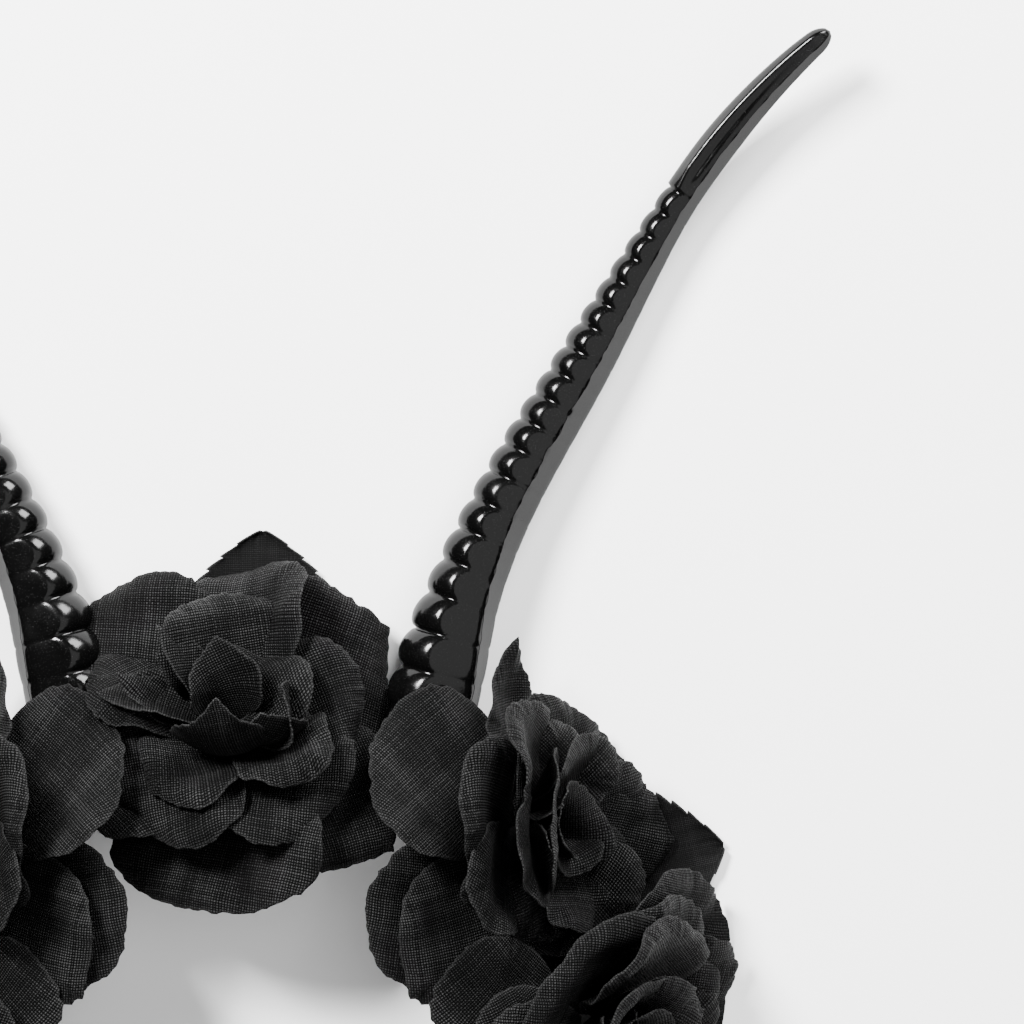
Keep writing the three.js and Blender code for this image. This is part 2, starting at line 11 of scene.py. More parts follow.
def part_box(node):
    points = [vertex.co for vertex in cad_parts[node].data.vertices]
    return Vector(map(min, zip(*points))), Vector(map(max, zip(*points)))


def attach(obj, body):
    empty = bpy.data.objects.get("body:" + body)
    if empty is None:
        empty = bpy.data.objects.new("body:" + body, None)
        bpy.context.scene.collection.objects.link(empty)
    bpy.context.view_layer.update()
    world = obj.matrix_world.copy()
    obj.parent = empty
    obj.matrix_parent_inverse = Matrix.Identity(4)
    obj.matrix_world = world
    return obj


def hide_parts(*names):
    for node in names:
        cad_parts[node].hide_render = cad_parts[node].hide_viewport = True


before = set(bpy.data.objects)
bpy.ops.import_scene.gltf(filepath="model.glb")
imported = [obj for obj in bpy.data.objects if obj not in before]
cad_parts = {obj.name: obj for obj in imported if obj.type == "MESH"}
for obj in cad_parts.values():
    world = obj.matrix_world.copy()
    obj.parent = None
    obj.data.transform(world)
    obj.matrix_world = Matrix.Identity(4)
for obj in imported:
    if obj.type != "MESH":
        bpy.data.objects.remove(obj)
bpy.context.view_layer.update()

bl_info = {
    "name": "Horned Rose Headband",
    "version": (1, 0, 0),
    "blender": (4, 5, 0),
    "location": "View3D > Sidebar > Headband",
    "description": "Adds a costume headband with ribbed horns, cloth roses and leaves",
    "category": "Add Mesh",
}

MM = 0.001

# The hoop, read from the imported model: its middle, and the height of its two edges.
BAND_LOW, BAND_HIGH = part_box("band")
BAND_RADIUS = 66 * MM
BAND_WALL = 2 * MM
ARCH = Vector((0, BAND_HIGH[1] - BAND_RADIUS - BAND_WALL / 2, (BAND_LOW[2] + BAND_HIGH[2]) / 2))
BAND_WIDTH = BAND_HIGH[2] - BAND_LOW[2]
CROWN_HALF_SWEEP = 94.5
ARM_RADIUS = 160 * MM
ARM_LENGTH = 60 * MM

# The horn's course: shares of its length and of its radius at the foot, how far it heads out from straight up
# and how far it rises off the surface.
HORN_LENGTH = 190 * MM
HORN_RADIUS = 10.3 * MM
HORN_SEAT_ANGLE = 31.5
HORN_STANDOFF = 3 * MM
HornRow = namedtuple("HornRow", "along heading girth rise")
HORN_COURSE = [
    HornRow(0, 12, 1, -0.3),
    HornRow(0.127, 15, 0.975, -0.9),
    HornRow(0.216, 21, 0.82, -3),
    HornRow(0.309, 26.5, 0.737, -3.2),
    HornRow(0.429, 30.8, 0.687, -2.6),
    HornRow(0.527, 30, 0.626, -1.4),
    HornRow(0.623, 29.6, 0.52, 1),
    HornRow(0.722, 32.5, 0.42, 4),
    HornRow(0.827, 39, 0.405, 7.5),
    HornRow(0.941, 47, 0.315, 11),
    HornRow(1, 52, 0.24, 12),
]
RIB_COUNT = 20
RIB_START = 2.6 * MM
RIB_PITCH = 5.7 * MM
RIB_EXTRA = 3.8 * MM
RIB_FADE = 0.85

# How each rose stands on the hoop: its place as an angle from the hoop's top, how far outside the hoop's outer
# face its foot is, and which way and how far its face leans.
RoseSeat = namedtuple("RoseSeat", "name at out faces lean rows mirrored")
CALYX_HEIGHT = 7 * MM
HUB_STEP = 1.3 * MM

# A layer's own lean beyond the outer petals', its hub as a share of the outer layer's, and how fine its mesh is.
Layer = namedtuple("Layer", "name hub tilt rings segments")
HUB_RADIUS = 3.2 * MM
LAYERS = [
    Layer("outer_petals", 1, 0, 13, 120),
    Layer("second_petals", 0.86, 6, 13, 112),
    Layer("third_petals", 0.7, 12, 12, 100),
    Layer("inner_petals", 0.5, 18, 11, 88),
    Layer("bud", 0.3, 20, 10, 80),
]

# A petal: which way it points round its layer's axis, its length and width in millimetres, the angles that it
# opens to at its base, middle and tip, how far its sides are cupped and its lip rolls back, its roll about its
# own length, how far its tip swings round, its point (below 0, a notch) and the height of its waves.
Petal = namedtuple("Petal", "azimuth length width base middle tip cup lip roll yaw point wave")
CENTRE_ROWS = {
    "outer_petals": [
        Petal(40.5, 37.1, 43.8, 84, 94, 100, 11, 40, 17, -10, 0.8, 1.4),
        Petal(133, 41.6, 36, 84, 86, 99, 15, 40, 0, 0, 0, 1.2),
        Petal(199, 35, 40, 79, 87, 96, 15, 50, 16, 0, 0, 1.2),
        Petal(264, 38.1, 51.3, 75, 92, 97, 2, 40, 20, -3, 0, 1.8),
        Petal(327, 38.8, 37.2, 80, 92, 96, 15, 50, -9, -6, 0.6, 1.6),
    ],
    "second_petals": [
        Petal(87, 39, 38.3, 70, 76, 102, 31, 60, -30, 0, -0.4, 1.4),
        Petal(12.5, 30.3, 32.1, 58, 66, 100, 15, 70, 9, -12, 0.2, 2.0),
        Petal(310.6, 30.6, 34, 62, 75, 88, 27, 60, 1, 7, 0, 0.8),
        Petal(230.6, 30.3, 37.1, 59, 79, 116, 27, 60, 10, -2, -0.2, 1.4),
        Petal(156, 33, 28.6, 64, 82, 84, 11, 70, 30, -4, 0, 1.2),
    ],
    "third_petals": [
        Petal(92.3, 30.5, 34.8, 43, 46, 72, 27, 70, 24, 9, 0, 0.8),
        Petal(321.4, 26.4, 24, 54, 61, 43, 51, 90, -7, 13, 0.9, 0.9),
        Petal(234.8, 23.4, 27, 64, 71, 70, 46, 90, 5, -28, 0.6, 0.9),
        Petal(170, 23, 10, 53, 63, 46, 40, 20, 3, -7, 1.6, 0.7),
    ],
    "inner_petals": [
        Petal(105, 21, 18.5, 4, 10, 42, 66, 20, -10, 0, 1.2, 0.5),
        Petal(57, 20.5, 34, 22, 38, 70, 43, 50, -2, 22, -0.8, 0.7),
        Petal(262.4, 28, 23, 84, 24, -14, 50, 10, 1, 8, 1.8, 0.5),
        Petal(144, 25.5, 10, 30, 36, 40, 50, 20, 10, 0, 1.1, 0.5),
    ],
    "bud": [
        Petal(173, 26, 15, 55, 72, 76, 66, 20, 8, 5, 1.1, 0.4),
        Petal(307, 22.8, 22, 80, 45, -20, 44, 10, -30, 2, 0.9, 0.4),
        Petal(344, 24.5, 15, 68, 52, -50, 48, 40, 24, 0, 0.4, 0.4),
    ],
}
UPPER_ROWS = {
    "outer_petals": [
        Petal(152, 37.5, 43.5, 72, 94, 98, 22, 40, 22, 4, 0.2, 1.2),
        Petal(222, 42, 35, 79, 88, 102, 12, 40, 7, -2, 0.3, 1.2),
        Petal(100, 34.5, 17, 83, 100, 72, 35, 30, 28, -26, 1.1, 1.0),
        Petal(-5, 34, 28, 77, 89, 88, 8, 50, 13, 0, 0.5, 1.8),
        Petal(276, 34, 40, 81, 97, 108, 10, 50, 7, 0, -0.4, 1.8),
    ],
    "second_petals": [
        Petal(172, 31.4, 40, 47, 55, 38, 8, 80, -11, 30, 0.5, 1.4),
        Petal(233, 42, 34, 74, 89, 98, 17, 50, 6, -5, 0.6, 1.0),
        Petal(50, 28.5, 42, 70, 98, 72, 16, 50, 11, 8, 0.1, 1.2),
        Petal(9, 30, 26.5, 68, 83, 91, 10, 60, 20, -8, 0.3, 1.2),
        Petal(297, 27, 40, 66, 77, 100, 22, 60, 14, -8, 0.8, 2.0),
    ],
    "third_petals": [
        Petal(120, 33, 27, 46, 58, 92, 37, 60, 30, -6, 0, 1.0),
        Petal(214, 33, 24.5, 64, 62, 60, 30, 40, -8, 0, 0, 0.9),
        Petal(279, 24.5, 33, 59, 75, 94, 26, 60, -8, 0, 0.2, 1.8),
        Petal(72, 26.5, 23, 52, 56, 78, 30, 70, -20, 0, -0.8, 1.0),
    ],
    "inner_petals": [
        Petal(168, 22, 32, 26, 22, 30, 20, 40, 6, 0, 0.3, 0.8),
        Petal(316, 26, 33, 60, 68, 58, 23, 50, -8, -10, -0.5, 2.0),
        Petal(205, 25, 25, 35, 55, 47, 33, 40, -6, 0, 0.3, 0.8),
        Petal(66, 25, 28, 34, 60, 64, 38, 50, 20, 10, 0.3, 0.6),
    ],
    "bud": [
        Petal(58, 15.5, 30, 20, 26, 60, 73, 30, 10, 0, 0.2, 0.4),
        Petal(200, 15, 15, 20, 10, 24, 70, 30, 0, 0, 0.3, 0.4),
        Petal(270, 14.5, 25, 34, 28, 55, 66, 30, -8, 0, 0, 0.4),
    ],
}
LOWER_ROWS = {
    "outer_petals": [
        Petal(162, 36, 28, 80, 84, 96, 15, 50, 0, -28, -0.2, 1.0),
        Petal(32, 41, 43, 77, 98, 84, 20, 50, 22, 10, -0.1, 1.8),
        Petal(-2, 36.5, 40, 80, 88, 100, 12, 50, 12, -8, -0.1, 1.8),
        Petal(228, 36, 42, 80, 90, 100, 14, 50, 8, 0, 0, 1.2),
        Petal(294, 37, 42, 80, 90, 100, 14, 50, 8, 0, 0, 1.2),
    ],
    "second_petals": [
        Petal(130, 31, 48, 55, 40, 82, 34, 80, 0, 0, -0.3, 1.2),
        Petal(41, 33, 38, 63, 72, 92, 35, 60, 9, -5, 0.6, 1.4),
        Petal(-28, 31, 36, 66, 80, 98, 20, 60, 8, 0, 0, 1.2),
        Petal(255, 33, 38, 66, 80, 98, 20, 60, 8, 0, 0, 1.2),
        Petal(190, 32, 36, 62, 76, 98, 20, 60, 8, 0, 0, 1.2),
    ],
    "third_petals": [
        Petal(64, 33, 39.5, 46, 50, 79, 34, 90, 20, 0, 0.1, 0.9),
        Petal(176, 33, 22, 54, 84, 80, 36, 60, 6, 0, 0.3, 0.9),
        Petal(-30, 26, 30, 50, 62, 76, 34, 80, 6, 0, 0, 0.9),
        Petal(240, 27, 32, 50, 62, 76, 34, 80, 6, 0, 0, 0.9),
    ],
    "inner_petals": [
        Petal(110, 25, 24, 24, 32, 50, 40, 40, 0, 0, 0.5, 0.6),
        Petal(30, 25, 24, 24, 36, 56, 40, 50, 0, 0, 0.3, 0.6),
        Petal(275, 25, 24, 34, 40, 56, 40, 40, 0, 0, 0.4, 0.6),
        Petal(195, 25, 22, 26, 36, 50, 44, 40, 0, 0, 0.8, 0.6),
    ],
    "bud": [
        Petal(60, 19, 20, 18, 20, 30, 70, 30, 0, 0, 0.3, 0.4),
        Petal(185, 18, 18, 14, 8, 20, 70, 30, 0, 0, 0.4, 0.4),
        Petal(300, 18, 18, 24, 20, 30, 66, 30, 0, 0, 0.3, 0.4),
    ],
}
SEATS = [
    RoseSeat("rose_centre", -3.7, -2.5, 90, 20, CENTRE_ROWS, False),
    RoseSeat("rose_right_upper", 50.5, 5, 5, 30, UPPER_ROWS, False),
    RoseSeat("rose_right_lower", 86, 2.5, -18, 30, LOWER_ROWS, False),
    RoseSeat("rose_left_upper", 50.5, 5, 5, 30, UPPER_ROWS, True),
    RoseSeat("rose_left_lower", 86, 2.5, -18, 30, LOWER_ROWS, True),
]
# petal shapes start
LIP_WIDTH = 6.0
FLOOR_GAP = 1.2 * MM  # the lowest that a petal hangs, and from how far above that the surface bends it
FLOOR_REACH = 4 * MM
SPINE_STEPS = 48
SECTION_STEPS = 81
FULLEST = 0.6
BASE_SHARE = 0.2


def smooth(low, high, value):
    """0 below low, 1 above high and smooth between them."""
    share = np.clip((value - low) / (high - low), 0, 1)
    return share * share * (3 - 2 * share)


def ripple(rng, turns, places):
    """Smooth noise from -1 to 1 on places from 0 to 1, closed on itself, of a few waves round."""
    total = np.zeros_like(places)
    for count in turns:
        total += np.sin(2 * np.pi * (count * places + rng.random())) / len(turns)
    return total


def petal_outline(petal, rng, segments):
    """The rim of the flat cut, in millimetres, from the middle of its base round by its right side."""
    y = (1 - np.cos(np.pi * np.linspace(0, 1, 200))) / 2
    lower = BASE_SHARE + (1 - BASE_SHARE) * np.sin(np.pi / 2 * np.clip(y / FULLEST, 0, 1)) ** 1.15
    upper = np.sqrt(np.clip(1 - np.clip((y - FULLEST) / (1 - FULLEST), 0, 1) ** 2.3, 0, 1))
    x = np.where(y < FULLEST, lower, upper)
    lift = petal.point * 0.14 * np.clip(1 - np.abs(x) / 0.6, 0, 1) ** 1.5 * smooth(0.8, 1, y)
    right = np.stack([x * petal.width / 2, (y + lift) * petal.length], 1)
    left = right[::-1] * (-1, 1)
    line = np.concatenate([[(0, 0)], right, left[1:], [(0, 0)]])
    run = np.concatenate([[0], np.cumsum(np.linalg.norm(np.diff(line, axis=0), axis=1))])
    at = np.arange(segments) / segments
    rim = np.stack([np.interp(at * run[-1], run, line[:, axis]) for axis in (0, 1)], 1)
    free = smooth(0.3, 0.6, rim[:, 1] / petal.length)
    scallop = 0.35 * ripple(rng, (19, 27, 34), at) + 0.22 * rng.uniform(-1, 1, segments)
    out = rim - (0, petal.length / 2)
    return rim + out / np.linalg.norm(out, axis=1)[:, None] * (scallop * free)[:, None], at, free


def petal_points(petal, hub, rng, rings, segments):
    """A petal in its layer's frame, the flat cut's places and how near the rim each is, in millimetres."""
    rim, at, free = petal_outline(petal, rng, segments)
    centre = np.array((0, 0.52 * petal.length))
    reach = np.linalg.norm(rim - centre, axis=1)
    outward = (rim - centre) / reach[:, None]
    share = 1 - (1 - np.linspace(0, 1, rings + 1)) ** 1.5
    share = share[:, None]
    lip = np.radians(np.maximum(petal.lip, 1) * free * (1 + 0.35 * ripple(rng, (2, 3, 5), at)))
    lip = np.maximum(lip, 0.01)
    start = reach - LIP_WIDTH * (1 - 0.3 * ripple(rng, (1, 3), at))
    past = np.clip(share * reach - start, 0, None)
    bend = (reach - start) / lip
    run = np.minimum(share * reach, start) + bend * np.sin(past / bend)
    drop = bend * (1 - np.cos(past / bend))
    flat = centre + outward * run[..., None]
    cut = centre + outward * (share * reach)[..., None]

    along = (np.arange(SPINE_STEPS) + 0.5) / SPINE_STEPS
    opening = np.radians(np.interp(along, [0, 0.5, 1], [petal.base, petal.middle, petal.tip]))
    azimuth = np.radians(petal.azimuth + petal.yaw * along**2)
    forward = np.stack(
        [np.sin(opening) * np.cos(azimuth), np.sin(opening) * np.sin(azimuth), np.cos(opening)], 1
    )
    first = hub * np.array((math.cos(azimuth[0]), math.sin(azimuth[0]), 0))
    spine = first + np.concatenate([[(0, 0, 0)], np.cumsum(forward, 0) * petal.length / SPINE_STEPS])
    side = np.stack([-np.sin(azimuth), np.cos(azimuth), 0 * azimuth], 1)
    inner = np.cross(forward, side)
    roll = np.radians(petal.roll) * smooth(0, 0.5, along)[:, None]
    side, inner = side * np.cos(roll) + inner * np.sin(roll), inner * np.cos(roll) - side * np.sin(roll)

    half = petal.width / 2
    sections = np.linspace(-1.4, 1.4, SECTION_STEPS) * half
    turn = np.radians(petal.cup) * sections / half
    step = sections[1] - sections[0]
    across = np.cumsum(np.cos(turn)) * step
    inwards = np.cumsum(np.sin(turn)) * step
    middle = SECTION_STEPS // 2
    across -= across[middle]
    inwards -= inwards[middle]

    y = flat[..., 1] / petal.length
    edges = np.linspace(0, 1, SPINE_STEPS + 1)

    def on(values, places):
        return np.stack([np.interp(y, places, values[:, axis]) for axis in range(3)], -1)

    here = on(spine, edges)
    overrun = (np.clip(y - 1, 0, None) + np.clip(y, None, 0))[..., None] * petal.length
    here += on(forward, along) * overrun
    sideways, inwardly = on(side, along), on(inner, along)
    x = flat[..., 0]
    lean = np.interp(x, sections, turn)[..., None]
    face = inwardly * np.cos(lean) - sideways * np.sin(lean)
    wave = petal.wave * share**2.5 * free * ripple(rng, (4, 6, 9), at)
    crumple = 0.35 * np.sin(x / 2.9 + rng.random() * 6) * np.sin(flat[..., 1] / 3.7 + rng.random() * 6)
    rise = (wave + crumple - drop)[..., None]
    points = here + sideways * np.interp(x, sections, across)[..., None]
    points += inwardly * np.interp(x, sections, inwards)[..., None] + face * rise
    return points, cut, (share * reach - reach) + 0 * drop


def rose_frame(seat, tilt, height):
    """A layer's hub, and its axes as columns: to the right, upwards and along the rose."""
    angle = math.radians(seat.at)
    out = BAND_RADIUS + BAND_WALL / 2 + seat.out * MM
    foot = np.array((ARCH[0] + math.sin(angle) * out, ARCH[1] + math.cos(angle) * out, ARCH[2] + BAND_WIDTH / 2))
    faces = math.radians(seat.faces)

    def leaning(lean):
        lean = math.radians(lean)
        return np.array(
            (math.cos(faces) * math.sin(lean), math.sin(faces) * math.sin(lean), math.cos(lean))
        )

    hub = foot + leaning(seat.lean) * (CALYX_HEIGHT + height)
    axis = leaning(seat.lean + tilt)
    right = np.array((1.0, 0, 0)) - axis * axis[0]
    right /= np.linalg.norm(right)
    return hub, np.stack([right, np.cross(axis, right), axis], 1)


def petal_layer(seat, depth):
    """All petals of one layer: their points in metres, the flat cut's places and the way in from the rim."""
    layer = LAYERS[depth]
    hub, axes = rose_frame(seat, layer.tilt, depth * HUB_STEP)
    made = []
    for index, petal in enumerate(seat.rows[layer.name]):
        rng = np.random.default_rng(1000 * depth + 10 * index + 1)
        start = HUB_RADIUS / MM * layer.hub
        points, cut, rim = petal_points(petal, start, rng, layer.rings, layer.segments)
        points[..., 2] += 0.22 * index
        points = hub + points @ axes.T * MM
        low = np.minimum(points[..., 2] - FLOOR_GAP - FLOOR_REACH, 0)
        points[..., 2] += FLOOR_REACH * np.exp(low / FLOOR_REACH) - FLOOR_REACH - low
        if seat.mirrored:
            points = points * (-1, 1, 1)
        made.append((points, cut * MM, rim * MM))
    return made


# petal shapes end


def plain_mesh(name, points, faces, attributes=(), uv=None):
    """A mesh object at the origin, with float attributes on its points and a UV map given for each point."""
    mesh = bpy.data.meshes.new(name)
    mesh.from_pydata([tuple(p) for p in points], [], faces)
    for label, values in attributes:
        layer = mesh.attributes.new(label, "FLOAT", "POINT")
        layer.data.foreach_set("value", np.asarray(values, np.float32).ravel())
    if uv is not None:
        corners = np.empty(len(mesh.loops), int)
        mesh.loops.foreach_get("vertex_index", corners)
        layer = mesh.uv_layers.new(name="UVMap")
        layer.data.foreach_set("uv", np.asarray(uv, np.float32)[corners].ravel())
    mesh.validate()
    mesh.shade_smooth()
    obj = bpy.data.objects.new(name, mesh)
    bpy.context.scene.collection.objects.link(obj)
    return obj


def finish_piece(obj, nodes, material):
    """Gives a piece its finish, hangs it under the root body and hides the CAD nodes that it stands for."""
    obj.data.materials.clear()
    obj.data.materials.append(material)
    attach(obj, "root")
    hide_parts(*nodes)


# Node trees
def put(tree, kind, values=(), **settings):
    """A node with its settings. values maps its sockets, by name or number, to numbers or other sockets."""
    made = tree.nodes.new(kind)
    for name, value in settings.items():
        setattr(made, name, value)
    for socket, value in dict(values).items():
        target = made.inputs[socket]
        if isinstance(value, bpy.types.NodeSocket):
            tree.links.new(value, target)
        else:
            target.default_value = value
    return made


def maths(tree, operation, *values, clamp=False):
    kind = "ShaderNodeMath"
    return put(tree, kind, dict(enumerate(values)), operation=operation, use_clamp=clamp).outputs[0]


def remapped(tree, value, low, high, new_low, new_high):
    values = {0: value, 1: low, 2: high, 3: new_low, 4: new_high}
    return put(tree, "ShaderNodeMapRange", values).outputs[0]


def blended(tree, share, first, second):
    """A colour between two, by a share."""
    made = put(tree, "ShaderNodeMix", data_type="RGBA")
    for socket, value in zip((made.inputs[0], made.inputs[6], made.inputs[7]), (share, first, second)):
        if isinstance(value, bpy.types.NodeSocket):
            tree.links.new(value, socket)
        else:
            socket.default_value = value
    return made.outputs[2]


def group_of(name, kind, inputs, outputs):
    """A node group with named sockets, with its input and output nodes."""
    tree = bpy.data.node_groups.new(name, kind)
    for direction, sockets in (("INPUT", inputs), ("OUTPUT", outputs)):
        for label, (socket_type, default) in sockets.items():
            made = tree.interface.new_socket(label, in_out=direction, socket_type=socket_type)
            if default is not None:
                made.default_value = default
    return tree, tree.nodes.new("NodeGroupInput").outputs, tree.nodes.new("NodeGroupOutput").inputs


FLOAT, COLOUR, VECTOR = "NodeSocketFloat", "NodeSocketColor", "NodeSocketVector"


def weave_group():
    """Plain weave on a flat cut: the threads' height, and a tone made of that height and each thread's own random
    tone, so colour taken from it puts painted glints on the crowns and painted shade in the gaps.
    """
    tree, given, out = group_of(
        "Weave",
        "ShaderNodeTree",
        {"Place": (VECTOR, None), "Pitch": (FLOAT, 0.0006), "Slub": (FLOAT, 0.3)},
        {"Height": (FLOAT, None), "Tone with painted light": (FLOAT, None)},
    )
    wander = put(tree, "ShaderNodeTexNoise", {"Vector": given["Place"], "Scale": 160.0, "Detail": 1.0})
    shift = put(tree, "ShaderNodeVectorMath", {0: wander.outputs["Color"], 1: (0.5, 0.5, 0.5)}, operation="SUBTRACT")
    shifted = put(
        tree,
        "ShaderNodeVectorMath",
        {0: shift.outputs[0], 1: (0.0004, 0.0004, 0.0), 2: given["Place"]},
        operation="MULTIPLY_ADD",
    )
    parts = put(tree, "ShaderNodeSeparateXYZ", {0: shifted.outputs[0]})
    cells = [maths(tree, "DIVIDE", parts.outputs[axis], given["Pitch"]) for axis in (0, 1)]
    whole = [maths(tree, "FLOOR", cell) for cell in cells]
    cross = [
        maths(tree, "SINE", maths(tree, "MULTIPLY", maths(tree, "FRACT", cell), math.pi)) for cell in cells
    ]
    parity = maths(tree, "MODULO", maths(tree, "ABSOLUTE", maths(tree, "ADD", *whole)), 2.0)
    warp = maths(tree, "MULTIPLY", maths(tree, "POWER", cross[0], 0.8), maths(tree, "POWER", cross[1], 0.35))
    weft = maths(tree, "MULTIPLY", maths(tree, "POWER", cross[1], 0.8), maths(tree, "POWER", cross[0], 0.35))
    top = put(tree, "ShaderNodeMix", {"Factor": parity}, data_type="FLOAT")
    tree.links.new(warp, top.inputs[2])
    tree.links.new(weft, top.inputs[3])
    height = top.outputs[0]
    lanes = [
        put(tree, "ShaderNodeTexWhiteNoise", {"W": lane}, noise_dimensions="1D").outputs[0] for lane in whole
    ]
    thread = put(tree, "ShaderNodeMix", {"Factor": parity}, data_type="FLOAT")
    tree.links.new(lanes[0], thread.inputs[2])
    tree.links.new(lanes[1], thread.inputs[3])
    slub = maths(tree, "MULTIPLY", maths(tree, "SUBTRACT", thread.outputs[0], 0.5), given["Slub"])
    tree.links.new(height, out["Height"])
    # The height is the main part of this tone, so it carries painted glints on the thread crowns and painted shade in
    # the gaps; the slub is each thread's own tone.
    tree.links.new(maths(tree, "ADD", height, slub), out["Tone with painted light"])
    return tree


def cloth_material(name, weave, pitch, dark, light, rim_fray_and_highlight_tone, roughness, depth, sheen):
    """Woven cloth: threads with painted glints on their crowns over gaps of painted shade, a paler rim that is partly
    fray and partly painted highlight, and slow changes of tone.
    """
    material = bpy.data.materials.new(name)
    material.use_nodes = True
    tree = material.node_tree
    tree.nodes.clear()
    place = put(tree, "ShaderNodeUVMap", uv_map="UVMap").outputs[0]
    threads = put(tree, "ShaderNodeGroup", node_tree=weave)
    tree.links.new(place, threads.inputs["Place"])
    threads.inputs["Pitch"].default_value = pitch
    # The rim mask and the paler rim colour make an edge that is partly fray and partly a painted highlight where the
    # cloth's edges catch the light.
    rim = put(tree, "ShaderNodeAttribute", attribute_name="rim").outputs["Fac"]
    fuzz = put(tree, "ShaderNodeTexNoise", {"Vector": place, "Scale": 2600.0, "Detail": 3.0}).outputs["Fac"]
    fray_and_painted_highlight = maths(tree, "MULTIPLY", rim, remapped(tree, fuzz, 0.35, 0.65, 0.2, 1.0))
    slow = put(tree, "ShaderNodeTexNoise", {"Vector": place, "Scale": 70.0, "Detail": 3.0}).outputs["Fac"]
    tone = maths(tree, "MULTIPLY", threads.outputs["Tone with painted light"], remapped(tree, slow, 0.3, 0.7, 0.75, 1.15))
    # Gaps take the dark colour as painted shade between the threads, and crowns take the light colour as a painted
    # glint; the slow noise and the slub are the cloth's own changes of tone.
    woven_with_painted_light = blended(tree, maths(tree, "POWER", remapped(tree, tone, 0.3, 1.0, 0.0, 1.0), 2.8), dark, light)
    colour = blended(tree, fray_and_painted_highlight, woven_with_painted_light, rim_fray_and_highlight_tone)
    rough = remapped(tree, threads.outputs["Tone with painted light"], 0.2, 1.0, min(1.0, roughness + 0.25), roughness)
    relief = maths(tree, "ADD", threads.outputs["Height"], maths(tree, "MULTIPLY", fuzz, 0.35))
    bump = put(tree, "ShaderNodeBump", {"Height": relief, "Distance": depth, "Strength": 0.9})
    shader = put(
        tree,
        "ShaderNodeBsdfPrincipled",
        {"Base Color": colour, "Roughness": rough, "Normal": bump.outputs[0]},
    )
    shader.inputs["Sheen Weight"].default_value = sheen
    shader.inputs["Sheen Roughness"].default_value = 0.4
    shader.inputs["Specular IOR Level"].default_value = 0.05
    put(tree, "ShaderNodeOutputMaterial", {0: shader.outputs[0]})
    return material


def gloss_material(name, colour, roughness, film):
    """Glossy moulded plastic: slight orange peel, fine dust, rubbed places and a thin dull film."""
    material = bpy.data.materials.new(name)
    material.use_nodes = True
    tree = material.node_tree
    tree.nodes.clear()
    place = put(tree, "ShaderNodeTexCoord").outputs["Object"]
    peel = put(tree, "ShaderNodeTexNoise", {"Vector": place, "Scale": 2400.0, "Detail": 2.0}).outputs["Fac"]
    swirl = put(tree, "ShaderNodeTexNoise", {"Vector": place, "Scale": 160.0, "Detail": 2.0}).outputs["Fac"]
    speck = put(tree, "ShaderNodeTexNoise", {"Vector": place, "Scale": 4200.0, "Detail": 1.0}).outputs["Fac"]
    dust = remapped(tree, speck, 0.66, 0.72, 0.0, 1.0)
    rough = maths(tree, "ADD", remapped(tree, swirl, 0.35, 0.7, roughness, roughness + 0.1), maths(tree, "MULTIPLY", dust, 0.2))
    relief = maths(tree, "ADD", maths(tree, "MULTIPLY", peel, 0.6), swirl)
    bump = put(tree, "ShaderNodeBump", {"Height": relief, "Distance": 0.00003, "Strength": 0.6})
    paler = tuple(min(1.0, part + 0.008) for part in colour[:3]) + (1.0,)
    tone = blended(tree, maths(tree, "MULTIPLY", dust, 0.5), colour, paler)
    shader = put(
        tree,
        "ShaderNodeBsdfPrincipled",
        {"Base Color": tone, "Roughness": rough, "Normal": bump.outputs[0]},
    )
    dull = put(tree, "ShaderNodeBsdfDiffuse", {"Color": tone})
    mixed = put(tree, "ShaderNodeMixShader", {0: film, 1: shader.outputs[0], 2: dull.outputs[0]})
    put(tree, "ShaderNodeOutputMaterial", {0: mixed.outputs[0]})
    return material


def stage_material():
    material = bpy.data.materials.new("Pale floor")
    material.use_nodes = True
    shader = material.node_tree.nodes["Principled BSDF"]
    shader.inputs["Base Color"].default_value = (0.9, 0.9, 0.9, 1)
    shader.inputs["Roughness"].default_value = 0.9
    return material


# Horns
def from_table(rows, column, along):
    """A column of a table at a place along it, on a smooth line through its rows."""
    i = 0
    while i < len(rows) - 2 and along > rows[i + 1].along:
        i += 1
    before, a, b, after = rows[max(i - 1, 0)], rows[i], rows[i + 1], rows[min(i + 2, len(rows) - 1)]
    span = b.along - a.along
    t = min(max((along - a.along) / span, 0), 1)
    value = [getattr(row, column) for row in (before, a, b, after)]
    slope_a = (value[2] - value[0]) / (b.along - before.along) * span
    slope_b = (value[3] - value[1]) / (after.along - a.along) * span
    ends = value[1] * (1 + 2 * t) * (1 - t) ** 2 + value[2] * t * t * (3 - 2 * t)
    return ends + slope_a * t * (1 - t) ** 2 + slope_b * t * t * (t - 1)


def rib_edge(number):
    return RIB_START + RIB_PITCH * number + RIB_EXTRA * (1 - RIB_FADE**number) / (1 - RIB_FADE)


